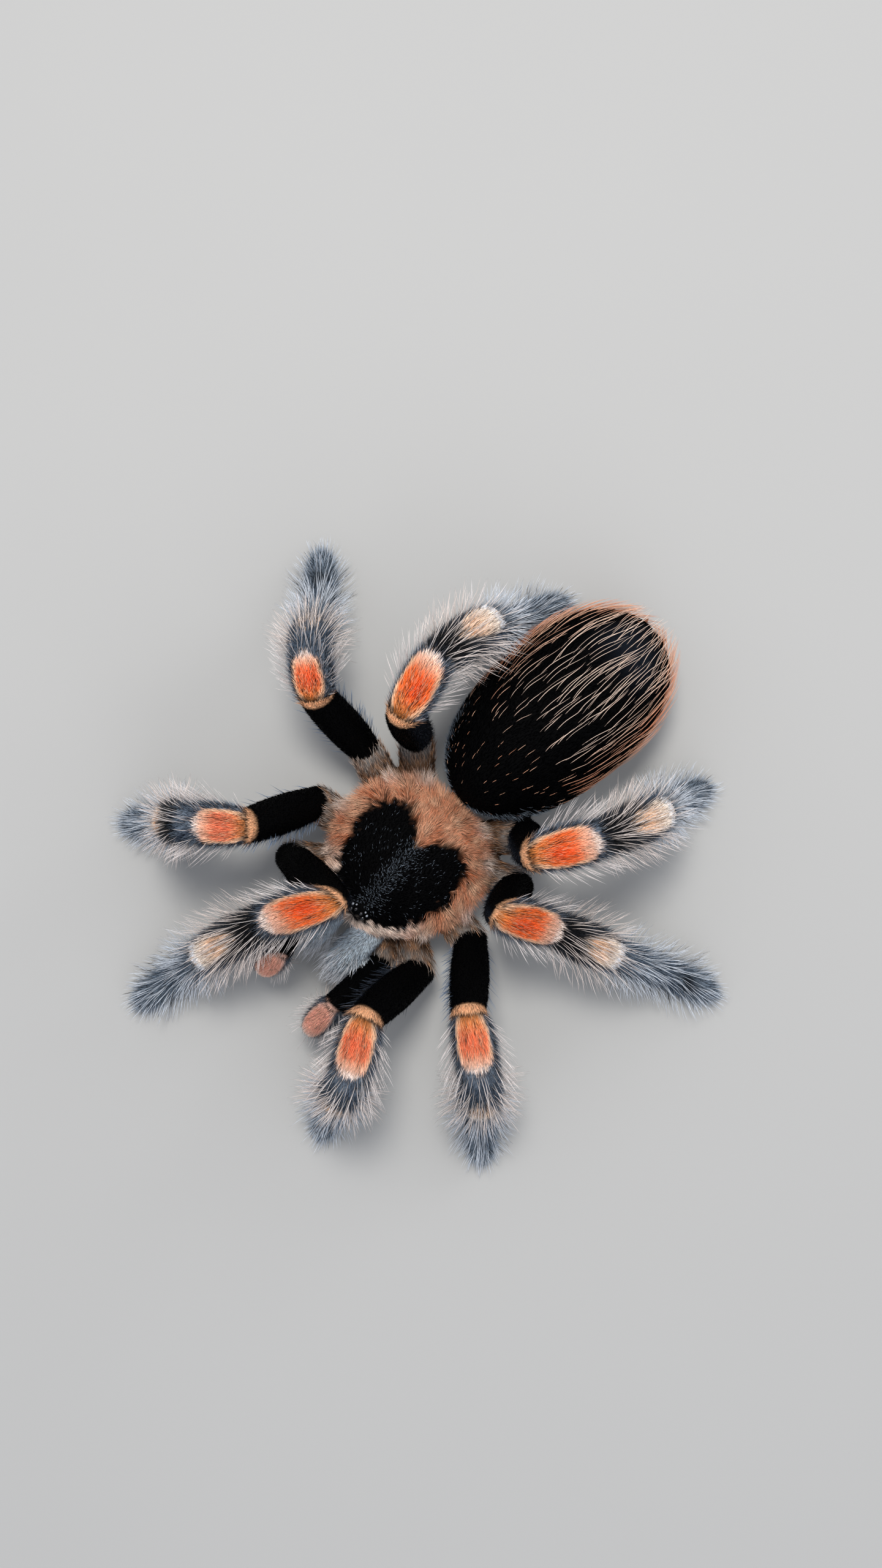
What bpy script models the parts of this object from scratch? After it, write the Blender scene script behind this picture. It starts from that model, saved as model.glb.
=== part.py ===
"""A life-size red knee tarantula (Brachypelma hamorii), standing still with its legs drawn in.

Lengths below are millimetres, and make_object() turns them into metres.
The head points along -Y, the spider's left is +X and the floor is z = 0. Every solid reaches out
to the ends of the short coat, and the finished skin lies inside it.
"""

import math

import bmesh
import bpy
from mathutils import Vector

MM = 0.001

# Driving size: the carapace's length. Every leg segment is a fraction of it.
CARAPACE_LENGTH = 22.0
GAP = 0.3                    # clearance between two solids that touch in life
GROWN = 0.32                 # how much wider a cutter is than the solid it stands for

# Femur, patella, tibia, metatarsus and tarsus as fractions of the carapace's length.
LEG_PROPORTIONS = {
    1: (0.74, 0.44, 0.57, 0.50, 0.37),
    2: (0.69, 0.41, 0.49, 0.49, 0.37),
    3: (0.61, 0.38, 0.46, 0.57, 0.36),
    4: (0.75, 0.41, 0.57, 0.77, 0.41),
}
PALP_PROPORTIONS = (0.52, 0.34, 0.36, 0.31)
LEG_SEGMENTS = ("femur", "patella", "tibia", "metatarsus", "tarsus")
PALP_SEGMENTS = ("femur", "patella", "tibia", "tarsus")

# Where each femur leaves its trochanter: how far to the side, along the body, and up.
HIPS = {
    1: (11.9, -10.4, 8.0),
    2: (14.4, -2.2, 8.0),
    3: (14.2, 7.7, 8.0),
    4: (10.2, 13.8, 8.0),
}
PALP_HIP = (7.3, -12.9, 5.8)
# A hip's inner end: to the side, along (for a leg, as a share of its HIPS place), and up.
LEG_HIP_INNER = (2.9, 0.44, 5.2)
PALP_HIP_INNER = (3.2, -5.0, 4.2)

# The stance, in degrees: (yaw, pitch) of femur, patella and tibia, yaw of metatarsus and tarsus,
# and how far the joints are stretched. The metatarsus's pitch brings each foot to the floor.
LEG_POSE = {
    "R1": ((6, 60), (-121, -16), (-108, -35), -101, -102, 1.03),
    "R2": ((-118, 54), (-142, 28), (-138, -74), -130, -134, 1.00),
    "R3": ((174, 43), (138, 45), (132, -67), 131, 131, 0.96),
    "R4": ((164, 80), (101, 24), (79, -46), 64, 64, 1.00),
    "L1": ((-105, 59), (-63, 17), (-76, -71), -70, -70, 0.96),
    "L2": ((-52, 57), (-38, 9), (-46, -62), -45, -45, 0.99),
    "L3": ((-94, 74), (24, -34), (17, -27), 19, 18, 1.06),
    "L4": ((-42, 83), (56, 20), (61, -42), 62, 62, 1.00),
}
# The palps curl down and back under the jaws: yaw of each part, pitch of the first two.
PALP_POSE = {
    "L": ((-100, 45), (-88, -50), 70, 72),
    "R": ((-67, 46), (-95, -60), 112, 112),
}
ANKLE_HEIGHT = 2.3           # the tarsus's upper end, above the floor
TARSUS_TIP_HEIGHT = 1.3
PALP_ANKLE_HEIGHT = 2.6
PALP_TIP_HEIGHT = 1.2

# Radii out to the ends of the short coat: at the segment's start, its fullest place and its end.
LEG_RADII = {
    "femur": (2.6, 3.15, 2.8),
    "patella": (2.8, 3.3, 2.9),
    "tibia": (2.9, 4.3, 3.5),
    "metatarsus": (3.5, 3.9, 2.5),
    "tarsus": (2.5, 2.6, 1.9),
}
PALP_RADII = {
    "femur": (1.8, 2.1, 2.0),
    "patella": (2.0, 2.4, 2.1),
    "tibia": (2.1, 2.8, 2.0),
    "tarsus": (2.0, 2.1, 1.5),
}
COXA_RADIUS = 2.9
HIP_LOWEST = 1.2             # the hips' undersides stay above this
PALP_COXA_RADIUS = 1.9
# The rail that ties one side's hips together: places along the body, (side, height) and half-sizes.
HIP_RAIL_ALONG = (-6.0, -2.0, 3.0, 7.4)
HIP_RAIL_PLACE = (5.2, 5.6)
HIP_RAIL_SIZE = (1.5, 1.8)

RING_SIDES = 12              # corners of a leg's cross-section
STATIONS = {"femur": 3, "patella": 3, "tibia": 4, "metatarsus": 3}   # whole rings of each segment
BODY_SIDES = 18              # corners of the abdomen's cross-section
CARAPACE_SIDES = 24

# The carapace, centred on the origin: heights of its rim and crown.
CARAPACE_RADIUS = CARAPACE_LENGTH / 2
RIM_LOWER = 8.9
RIM_UPPER = 10.0
CROWN = 13.4
HEAD_RISE = 0.7              # the head stands above the thorax
FOVEA_DEPTH = 0.7
FOVEA_PLACE = (0.0, 3.7)
EYE_PLACE = (0.0, -9.2)
EYE_MOUND_SIDES = 12

# The sternum's shield, under the carapace.
STERNUM_HALF_WIDTH = 4.4
STERNUM_FRONT = -6.2
STERNUM_REAR = 8.0
STERNUM_BOTTOM = 2.7

# The waist and the abdomen, which swings a little to the left.
PEDICEL_RADIUS = 1.7
PEDICEL_HEIGHT = 7.2
ABDOMEN_FRONT = (-0.3, 10.6)
ABDOMEN_REAR = (4.7, 47.7)
ABDOMEN_HALF_WIDTH = 11.1
ABDOMEN_HALF_HEIGHT = 9.6
ABDOMEN_HEIGHT = 10.7
ABDOMEN_WIDEST = 0.57        # place of the widest ring along its length
ABDOMEN_FULLNESS = (2.6, 2.15)   # of the outline before and behind that place: 2 is an ellipse

CHELICERA_SIDE = 2.85        # each jaw's middle, from the body's
SPINNERET_LENGTH = 5.5
SPINNERET_ROOT = (4.6, 6.7)   # ahead of the abdomen's end, and below it


# Tools

def clear_scene():
    for old in list(bpy.data.objects):
        bpy.data.objects.remove(old, do_unlink=True)


def make_material(name, colour, roughness):
    material = bpy.data.materials.new(name)
    material.use_nodes = True
    shader = material.node_tree.nodes["Principled BSDF"]
    shader.inputs["Base Color"].default_value = (*colour, 1.0)
    shader.inputs["Roughness"].default_value = roughness
    shader.inputs["Metallic"].default_value = 0.0
    return material


def make_object(name, corners, faces, material, parent):
    """Makes one closed mesh, its faces pointing out."""
    mesh = bpy.data.meshes.new(name)
    mesh.from_pydata([tuple(MM * c for c in corner) for corner in corners], [], faces)
    work = bmesh.new()
    work.from_mesh(mesh)
    bmesh.ops.recalc_face_normals(work, faces=work.faces)
    work.to_mesh(mesh)
    work.free()
    mesh.shade_smooth()
    mesh.set_sharp_from_angle(angle=math.radians(50))
    obj = bpy.data.objects.new(name, mesh)
    bpy.context.scene.collection.objects.link(obj)
    obj.parent = parent
    if material:
        mesh.materials.append(material)
    return obj


def loft(rings):
    """Joins rings of equal count into a tube with flat ends."""
    sides = len(rings[0])
    corners = [corner for ring in rings for corner in ring]
    faces = [tuple(range(sides))[::-1]]
    for band in range(len(rings) - 1):
        low, high = band * sides, (band + 1) * sides
        for i in range(sides):
            j = (i + 1) % sides
            faces.append((low + i, low + j, high + j, high + i))
    faces.append(tuple(range((len(rings) - 1) * sides, len(rings) * sides)))
    return corners, faces


def ellipse_ring(centre, across, along, width, height, sides, lowest=None):
    """A ring in the plane of two unit directions, kept above the height `lowest`."""
    ring = []
    for i in range(sides):
        angle = 2 * math.pi * (i + 0.5) / sides
        corner = centre + across * (width * math.cos(angle)) + along * (height * math.sin(angle))
        if lowest is not None:
            corner.z = max(corner.z, lowest)
        ring.append(corner)
    return ring


def direction(yaw, pitch):
    yaw, pitch = math.radians(yaw), math.radians(pitch)
    return Vector((math.cos(pitch) * math.cos(yaw), math.cos(pitch) * math.sin(yaw), math.sin(pitch)))


def cut(obj, cutter):
    """Cuts a hidden solid out of an object."""
    boolean = obj.modifiers.new("cut_by_" + cutter.name, "BOOLEAN")
    boolean.operation = "DIFFERENCE"
    boolean.solver = "EXACT"
    boolean.object = cutter


def join(obj, other):
    """Joins a hidden solid to an object as one body."""
    boolean = obj.modifiers.new("joined_" + other.name, "BOOLEAN")
    boolean.operation = "UNION"
    boolean.solver = "EXACT"
    boolean.object = other


def hide(obj):
    obj.hide_render = True
    obj.display_type = "WIRE"
    return obj


# Limbs

def joint_side(before, after, fallback):
    """The hinge line of a joint: square to both segments, or level where they run on straight."""
    return (before.cross(after) + 0.25 * fallback).normalized()


def level_side(yaw):
    return Vector((-math.sin(math.radians(yaw)), math.cos(math.radians(yaw)), 0.0))


def limb_joints(start, directions, lengths):
    joints = [Vector(start)]
    for step, length in zip(directions, lengths):
        joints.append(joints[-1] + step * length)
    return joints


def leg_directions(name, lengths):
    """Unit directions of a leg's five segments, the fourth pitched so that the foot meets the floor."""
    femur, patella, tibia, metatarsus_yaw, tarsus_yaw, _ = LEG_POSE[name]
    upper = [direction(*femur), direction(*patella), direction(*tibia)]
    height = HIPS[int(name[1])][2] + sum(d.z * length for d, length in zip(upper, lengths))
    drop = min((height - ANKLE_HEIGHT) / lengths[3], 0.999)
    metatarsus = direction(metatarsus_yaw, -math.degrees(math.asin(drop)))
    tarsus_drop = (ANKLE_HEIGHT - TARSUS_TIP_HEIGHT) / lengths[4]
    tarsus = direction(tarsus_yaw, -math.degrees(math.asin(tarsus_drop)))
    yaws = [patella[0], patella[0], tibia[0], metatarsus_yaw, tarsus_yaw]
    return upper + [metatarsus, tarsus], yaws


def palp_directions(side, lengths):
    femur, patella, tibia_yaw, tarsus_yaw = PALP_POSE[side]
    upper = [direction(*femur), direction(*patella)]
    height = PALP_HIP[2] + sum(d.z * length for d, length in zip(upper, lengths))
    tibia_drop = min((height - PALP_ANKLE_HEIGHT) / lengths[2], 0.999)
    tibia = direction(tibia_yaw, -math.degrees(math.asin(tibia_drop)))
    tarsus_drop = (PALP_ANKLE_HEIGHT - PALP_TIP_HEIGHT) / lengths[3]
    tarsus = direction(tarsus_yaw, -math.degrees(math.asin(tarsus_drop)))
    yaws = [patella[0], patella[0], tibia_yaw + 180, tarsus_yaw + 180]
    return upper + [tibia, tarsus], yaws


def joint_ring(joint, plane, hinge, radius, lowest, offset):
    """A round ring in a joint's plane, `offset` along that plane's direction."""
    upward = plane.cross(hinge).normalized()
    across = upward.cross(plane).normalized()
    return ellipse_ring(joint + plane * offset, across, upward, radius, radius, RING_SIDES, lowest)


def keep_beyond(rings, joint, plane, slide):
    """Slides corners along `slide` until they stand clear of a joint's plane."""
    for ring in rings:
        for corner in ring:
            clear = (corner - joint).dot(plane) - GAP / 2
            if clear < 0:
                corner -= slide * (clear / slide.dot(plane))


def segment_rings(ends, planes, hinges, step, radii, stations, lowest=GAP):
    """Rings of one limb segment. Its end rings lie in the planes it shares with its neighbours."""
    start, end = ends
    length = (end - start).length
    level = (hinges[0] + hinges[1]).normalized()
    level = (level - step * level.dot(step)).normalized()
    # The first whole ring stands clear of the crease inside the bend.
    near = radii[0] * math.sin(math.acos(min(1.0, planes[0].dot(step)))) + 0.5
    far = length - (radii[2] * math.sin(math.acos(min(1.0, planes[1].dot(step)))) + 0.5)
    if far < near:
        near = far = (near + far) / 2
    upward = step.cross(level)
    rings = []
    for i in range(stations):
        distance = near + (far - near) * i / (stations - 1)
        t = distance / length
        end_radius = radii[0] if t < 0.5 else radii[2]
        radius = end_radius + (radii[1] - end_radius) * math.sin(math.pi * t)
        centre = start + step * distance
        rings.append(ellipse_ring(centre, level, upward, radius * 0.96, radius, RING_SIDES, lowest))
    keep_beyond(rings, start, planes[0], step)
    keep_beyond(rings, end, -planes[1], step)
    rings.insert(0, joint_ring(start, planes[0], hinges[0], radii[0], lowest, GAP / 2))
    rings.append(joint_ring(end, planes[1], hinges[1], radii[2], lowest, -GAP / 2))
    return rings


def foot_rings(start, end, plane, hinge, step, radii):
    """Rings of a tarsus: flat below, with a round tip."""
    length = (end - start).length
    level = (hinge - step * hinge.dot(step)).normalized()
    upward = step.cross(level)
    rings = []
    near = radii[0] * math.sin(math.acos(min(1.0, plane.dot(step)))) + 0.4
    full = radii[1]
    tip = radii[2]
    profile = ((near, full), (0.55 * length, full), (0.8 * length, tip + 0.3), (0.93 * length, tip * 0.8),
               (0.995 * length, tip * 0.4))
    for distance, radius in profile:
        centre = start + step * distance
        rings.append(ellipse_ring(centre, level, upward, radius, radius * 0.9, RING_SIDES, 0.0))
    keep_beyond(rings, start, plane, Vector((step.x, step.y, 0.0)))
    rings.insert(0, joint_ring(start, plane, hinge, radii[0], 0.0, GAP / 2))
    return rings


def build_limb(prefix, segment_names, hip, inner, steps, yaws, lengths, radii_table, materials, root):
    """Builds the nodes of one leg or palp, from the trochanter's joint to the tip."""
    joints = limb_joints(hip, steps, lengths)
    chain = [(Vector(hip) - Vector(inner)).normalized()] + steps
    planes = []
    hinges = []
    for i in range(len(steps)):
        planes.append((chain[i] + chain[i + 1]).normalized())
        hinges.append(joint_side(chain[i], chain[i + 1], level_side(yaws[i])))
    for i in range(1, len(hinges)):
        if hinges[i].dot(hinges[i - 1]) < 0:
            hinges[i] = -hinges[i]
    nodes = {}
    for i, segment in enumerate(segment_names):
        radii = radii_table[segment]
        if segment == "tarsus":
            rings = foot_rings(joints[i], joints[i + 1], planes[i], hinges[i], steps[i], radii)
        else:
            rings = segment_rings((joints[i], joints[i + 1]), (planes[i], planes[i + 1]),
                                  (hinges[i], hinges[i + 1]), steps[i], radii, STATIONS[segment])
        name = f"{prefix}_{segment}"
        nodes[segment] = make_object(name, *loft(rings), materials[segment], root)
    return nodes, planes[0], hinges[0]


def coxa_rings(inner, hip, plane, hinge, radius):
    """Rings of a hip: a stout lobe from beside the sternum out to the trochanter's rim."""
    inner, hip = Vector(inner), Vector(hip)
    step = (hip - inner).normalized()
    length = (hip - inner).length
    level = (hinge - step * hinge.dot(step)).normalized()
    upward = step.cross(level)
    rings = []
    for t, scale in ((0.0, 0.62), (0.35, 1.0), (0.62, 1.0), (0.74, 0.88)):
        centre = inner + step * (length * t)
        size = radius * scale
        rings.append(ellipse_ring(centre, level, upward, size, size, RING_SIDES, HIP_LOWEST))
    keep_beyond(rings, hip, -plane, step)
    rings.append(joint_ring(hip, plane, hinge, radius * 0.86, HIP_LOWEST, -GAP / 2))
    return rings


def hip_rail_rings(sign):
    """A low rail along the sternum that ties one side's hips together."""
    rings = []
    side, height = HIP_RAIL_PLACE
    for along in HIP_RAIL_ALONG:
        centre = Vector((sign * side, along, height))
        rings.append(ellipse_ring(centre, Vector((1, 0, 0)), Vector((0, 0, 1)), *HIP_RAIL_SIZE, 10))
    return rings


# Trunk

def carapace_radius(angle):
    """Distance from the carapace's middle to its rim, `angle` radians round from the front."""
    degrees = abs(math.degrees(math.remainder(angle, 2 * math.pi)))
    cheek = 0.9 * math.exp(-((degrees - 55) / 28) ** 2)
    front = 0.35 * math.exp(-(degrees / 35) ** 2)
    notch = 0.8 * math.exp(-((degrees - 180) / 18) ** 2)
    return CARAPACE_RADIUS - cheek + front - notch


def carapace_height(x, y, share):
    """Height of the carapace's back, `share` of the way from its middle to its rim."""
    dome = (1 - min(share, 1.0) ** 2.4) ** 0.75
    head = HEAD_RISE * math.exp(-(x / 4.5) ** 2 - ((y + 5.5) / 4.0) ** 2)
    dent = FOVEA_DEPTH * math.exp(-((x - FOVEA_PLACE[0]) / 1.6) ** 2 - ((y - FOVEA_PLACE[1]) / 1.0) ** 2)
    return RIM_UPPER + (CROWN - RIM_UPPER) * dome + head * dome - dent


def carapace_mesh(grow=0.0):
    """The carapace as a dome on a flat underside, `grow` wider all round."""
    corners = []
    faces = []
    shares = (1.0, 0.93, 0.78, 0.55, 0.28)
    levels = [("bottom", 0.6), ("bottom", 1.0)] + [("top", share) for share in shares]
    for kind, share in levels:
        for i in range(CARAPACE_SIDES):
            angle = 2 * math.pi * i / CARAPACE_SIDES
            reach = carapace_radius(angle) * share + (grow if share == 1.0 else 0.0)
            x, y = reach * math.sin(angle), -reach * math.cos(angle)
            if kind == "bottom":
                corners.append((x, y, RIM_LOWER - grow))
            else:
                corners.append((x, y, carapace_height(x, y, share) + grow))
    sides = CARAPACE_SIDES
    faces.append(tuple(range(sides)))
    for band in range(len(levels) - 1):
        low, high = band * sides, (band + 1) * sides
        for i in range(sides):
            j = (i + 1) % sides
            faces.append((low + i, high + i, high + j, low + j))
    top = (len(levels) - 1) * sides
    corners.append((0.0, 0.0, carapace_height(0.0, 0.0, 0.0) + grow))
    for i in range(sides):
        faces.append((top + i, len(corners) - 1, top + (i + 1) % sides))
    return corners, faces


def sternum_mesh(grow=0.0):
    """The shield between the hips: an oval, domed below, as deep as the space under the carapace."""
    middle = (STERNUM_FRONT + STERNUM_REAR) / 2
    half_length = (STERNUM_REAR - STERNUM_FRONT) / 2
    rings = []
    top = RIM_LOWER - GAP + grow
    for height, scale in ((STERNUM_BOTTOM - grow, 0.72), (STERNUM_BOTTOM + 0.9, 1.0), (top, 1.0)):
        ring = []
        for i in range(16):
            angle = 2 * math.pi * i / 16
            x = (STERNUM_HALF_WIDTH * scale + grow) * math.sin(angle)
            y = middle - (half_length * scale + grow) * math.cos(angle)
            ring.append(Vector((x, y, height)))
        rings.append(ring)
    return loft(rings)


def abdomen_profile(t):
    """Half-width of the abdomen as a share of its widest, t from front to rear."""
    if t < ABDOMEN_WIDEST:
        share = (ABDOMEN_WIDEST - t) / ABDOMEN_WIDEST
        return math.sqrt(max(0.0, 1 - share ** ABDOMEN_FULLNESS[0]))
    share = (t - ABDOMEN_WIDEST) / (1 - ABDOMEN_WIDEST)
    return math.sqrt(max(0.0, 1 - share ** ABDOMEN_FULLNESS[1]))


def abdomen_place(t):
    """A point of the abdomen's middle line: it leaves the waist low and sags a little behind."""
    x = ABDOMEN_FRONT[0] + (ABDOMEN_REAR[0] - ABDOMEN_FRONT[0]) * t
    y = ABDOMEN_FRONT[1] + (ABDOMEN_REAR[1] - ABDOMEN_FRONT[1]) * t
    z = ABDOMEN_HEIGHT - 1.6 * (1 - t) ** 3 - 1.9 * t ** 4
    return Vector((x, y, z))


def abdomen_mesh(grow=0.0):
    axis = (abdomen_place(1.0) - abdomen_place(0.0))
    across = Vector((axis.y, -axis.x, 0.0)).normalized()
    upward = Vector((0.0, 0.0, 1.0))
    rings = []
    count = 11
    for i in range(count + 1):
        # Stations crowd towards both ends, where the outline turns fastest.
        t = 0.5 - 0.5 * math.cos(math.pi * (0.06 + 0.88 * i / count))
        share = abdomen_profile(t)
        width = ABDOMEN_HALF_WIDTH * share + grow
        height = ABDOMEN_HALF_HEIGHT * share ** 0.92 + grow
        rings.append(ellipse_ring(abdomen_place(t), across, upward, width, height, BODY_SIDES,
                                  1.0 - grow))
    for end, t in ((0, 0.0), (-1, 1.0)):
        tip = abdomen_place(t)
        outward = (tip - abdomen_place(0.5)).normalized() * grow
        cap = ellipse_ring(tip + outward, across, upward, 1.6, 1.6, BODY_SIDES)
        rings.insert(0, cap) if end == 0 else rings.append(cap)
    return loft(rings)


def pedicel_mesh(grow=0.0):
    rings = []
    for y in (STERNUM_REAR - 1.0, ABDOMEN_FRONT[1] + 2.0):
        centre = Vector((-0.1, y, PEDICEL_HEIGHT))
        size = PEDICEL_RADIUS + grow
        rings.append(ellipse_ring(centre, Vector((1, 0, 0)), Vector((0, 0, 1)), size, size * 0.8, 12))
    return loft(rings)


def chelicera_mesh(sign, grow=0.0):
    """One jaw: it leaves the carapace's front edge, swells, and turns down towards the fang."""
    stations = (
        # along, up, half-width, half-height, lean of the ring in degrees
        (-10.2, 7.6, 2.30, 1.9, 0),
        (-12.0, 8.3, 2.50, 3.1, 10),
        (-14.0, 8.2, 2.58, 3.7, 22),
        (-15.8, 7.3, 2.50, 3.5, 38),
        (-17.0, 6.1, 2.10, 2.6, 52),
        (-17.5, 5.2, 1.20, 1.4, 62),
    )
    rings = []
    for along, up, width, height, lean in stations:
        tilt = math.radians(lean)
        upward = Vector((0.0, -math.sin(tilt), math.cos(tilt)))
        centre = Vector((sign * CHELICERA_SIDE, along, up))
        rings.append(ellipse_ring(centre, Vector((1, 0, 0)), upward, width + grow, height + grow, 12))
    for corner in rings[0]:
        corner.y += grow
    for corner in rings[-1]:
        corner.y -= grow
    return loft(rings)


def fang_mesh(sign):
    """A fang folded back under its jaw: a thin curved cone."""
    rings = []
    count = 6
    for i in range(count + 1):
        t = i / count
        turn = math.radians(20 + 100 * t)
        reach = 4.6
        centre = Vector((sign * (2.7 - 0.5 * t), -12.4 - reach * math.cos(turn) * 0.9, 4.6 - 2.3 * math.sin(turn)))
        ahead = Vector((0.0, reach * 0.9 * math.sin(turn), -2.3 * math.cos(turn))).normalized()
        across = Vector((1.0, 0.0, 0.0))
        size = 0.75 * (1 - t) + 0.28 * t
        rings.append(ellipse_ring(centre, across, ahead.cross(across), size, size, 8))
    return loft(rings)


def eye_group(materials, root):
    """The low mound on the head with its eight eyes."""
    x, y = EYE_PLACE
    base = carapace_height(x, y, math.hypot(x, y) / carapace_radius(0.0)) - 0.2
    rings = []
    for height, scale in ((-0.6, 1.0), (0.6, 0.94), (0.95, 0.72), (1.1, 0.35)):
        ring = []
        for i in range(EYE_MOUND_SIDES):
            angle = 2 * math.pi * (i + 0.5) / EYE_MOUND_SIDES
            ring.append(Vector((x + 1.55 * scale * math.cos(angle), y + 1.05 * scale * math.sin(angle),
                                base + height)))
        rings.append(ring)
    mound = make_object("eyes", *loft(rings), materials["eyes"], root)
    # Two round eyes in the middle, and three oval ones towards each side.
    places = ((0.42, -0.1, 0.30, 1.0), (1.0, -0.55, 0.30, 0.75), (1.25, 0.1, 0.22, 0.65), (0.75, 0.45, 0.2, 0.85))
    for number, (side, along, size, rise) in enumerate(places):
        for sign, label in ((-1, "R"), (1, "L")):
            work = bmesh.new()
            bmesh.ops.create_icosphere(work, subdivisions=1, radius=size)
            corners = [(v.co.x + x + sign * side, v.co.y + y + along, v.co.z + base + rise)
                       for v in work.verts]
            faces = [tuple(v.index for v in f.verts) for f in work.faces]
            work.free()
            ball = hide(make_object(f"eye_{label}_{number}", corners, faces, None, root))
            join(mound, ball)
    return mound


def spinneret_pair(materials, root):
    """The two long spinnerets and the small knob that they grow from, under the abdomen's tip."""
    end = abdomen_place(1.0)
    back = (end - abdomen_place(0.8))
    back.z = 0.0
    back.normalize()
    across = Vector((back.y, -back.x, 0.0))
    start = end - back * SPINNERET_ROOT[0] - Vector((0.0, 0.0, SPINNERET_ROOT[1]))
    knob_rings = []
    for along, size in ((-1.2, 0.9), (-0.5, 1.7), (0.4, 1.7), (1.2, 0.9)):
        knob_rings.append(ellipse_ring(start + back * along, across, Vector((0, 0, 1)), size, size * 0.7, 12))
    knob = make_object("spinnerets", *loft(knob_rings), materials["spinnerets"], root)
    for sign, label in ((-1, "R"), (1, "L")):
        rings = []
        for i in range(5):
            t = i / 4
            centre = start + back * (SPINNERET_LENGTH * t) + across * (sign * (0.9 + 1.1 * t))
            centre = centre + Vector((0.0, 0.0, 1.1 * t * t))
            size = 0.75 - 0.3 * t
            rings.append(ellipse_ring(centre, across, Vector((0, 0, 1)), size, size, 8))
        finger = hide(make_object(f"spinneret_{label}", *loft(rings), None, root))
        join(knob, finger)
    return knob


# The whole animal

def build_materials():
    black = (0.012, 0.011, 0.011)
    grey = (0.19, 0.21, 0.24)
    orange = (0.72, 0.16, 0.045)
    return {
        "femur": make_material("black_velvet", black, 0.85),
        "patella": make_material("red_knee", orange, 0.7),
        "tibia": make_material("grey_setae_tibia", grey, 0.75),
        "metatarsus": make_material("grey_setae_metatarsus", (0.22, 0.24, 0.27), 0.75),
        "tarsus": make_material("grey_foot", (0.20, 0.23, 0.27), 0.75),
        "coxa": make_material("brown_hip", (0.09, 0.055, 0.04), 0.8),
        "carapace": make_material("carapace_rim", (0.45, 0.22, 0.12), 0.7),
        "sternum": make_material("dark_underside", (0.02, 0.017, 0.016), 0.8),
        "abdomen": make_material("abdomen_velvet", (0.015, 0.012, 0.012), 0.8),
        "chelicera": make_material("blue_grey_jaw", (0.16, 0.17, 0.19), 0.75),
        "fang": make_material("fang_horn", (0.02, 0.01, 0.008), 0.2),
        "eyes": make_material("eye_glass", (0.01, 0.01, 0.012), 0.12),
        "spinnerets": make_material("spinneret_brown", (0.06, 0.04, 0.035), 0.75),
    }


def build_trunk(materials, root):
    make_object("carapace", *carapace_mesh(), materials["carapace"], root)
    make_object("sternum", *sternum_mesh(), materials["sternum"], root)
    make_object("abdomen", *abdomen_mesh(), materials["abdomen"], root)
    cutters = {
        "carapace": hide(make_object("cutter_carapace", *carapace_mesh(GROWN), None, root)),
        "sternum": hide(make_object("cutter_sternum", *sternum_mesh(GROWN), None, root)),
        "abdomen": hide(make_object("cutter_abdomen", *abdomen_mesh(GROWN), None, root)),
        "pedicel": hide(make_object("cutter_pedicel", *pedicel_mesh(GROWN), None, root)),
    }
    pedicel = make_object("pedicel", *pedicel_mesh(), materials["sternum"], root)
    cut(pedicel, cutters["sternum"])
    cut(pedicel, cutters["abdomen"])
    for sign, label in ((-1, "R"), (1, "L")):
        jaw = make_object(f"chelicera_{label}", *chelicera_mesh(sign), materials["chelicera"], root)
        cut(jaw, cutters["carapace"])
        cutters["jaw_" + label] = hide(make_object(f"cutter_jaw_{label}", *chelicera_mesh(sign, GROWN), None, root))
        fang = make_object(f"fang_{label}", *fang_mesh(sign), materials["fang"], root)
        cut(fang, cutters["jaw_" + label])
    cut(eye_group(materials, root), cutters["carapace"])
    spinnerets = spinneret_pair(materials, root)
    cut(spinnerets, cutters["abdomen"])
    return cutters


def build_limbs(materials, root, cutters):
    for label, sign in (("R", -1), ("L", 1)):
        lobes = []
        for number in (1, 2, 3, 4):
            name = f"{label}{number}"
            stretch = LEG_POSE[name][5]
            lengths = [CARAPACE_LENGTH * share * stretch for share in LEG_PROPORTIONS[number]]
            steps, yaws = leg_directions(name, lengths)
            side, along, up = HIPS[number]
            hip = Vector((sign * side, along, up))
            inner_side, inner_share, inner_up = LEG_HIP_INNER
            inner = Vector((sign * inner_side, along * inner_share, inner_up))
            nodes, plane, hinge = build_limb(f"leg_{name}", LEG_SEGMENTS, hip, inner, steps, yaws, lengths,
                                             LEG_RADII, materials, root)
            lobes.append(coxa_rings(inner, hip, plane, hinge, COXA_RADIUS))
            if number == 4:
                for segment in ("femur", "tibia", "metatarsus"):
                    cut(nodes[segment], cutters["abdomen"])
            if number == 1:
                cut(nodes["femur"], cutters["carapace"])
        lengths = [CARAPACE_LENGTH * share for share in PALP_PROPORTIONS]
        steps, yaws = palp_directions(label, lengths)
        side, along, up = PALP_HIP
        hip = Vector((sign * side, along, up))
        inner_side, inner_along, inner_up = PALP_HIP_INNER
        inner = Vector((sign * inner_side, inner_along, inner_up))
        nodes, plane, hinge = build_limb(f"palp_{label}", PALP_SEGMENTS, hip, inner, steps, yaws, lengths,
                                         PALP_RADII, materials, root)
        cut(nodes["femur"], cutters["jaw_" + label])
        lobes.append(coxa_rings(inner, hip, plane, hinge, PALP_COXA_RADIUS))
        lobes.append(hip_rail_rings(sign))
        hips = make_object(f"coxae_{label}", *loft(lobes[0]), materials["coxa"], root)
        for number, rings in enumerate(lobes[1:], start=2):
            join(hips, hide(make_object(f"lobe_{label}{number}", *loft(rings), None, root)))
        for name in ("carapace", "sternum", "pedicel", "abdomen", "jaw_" + label):
            cut(hips, cutters[name])


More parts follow.
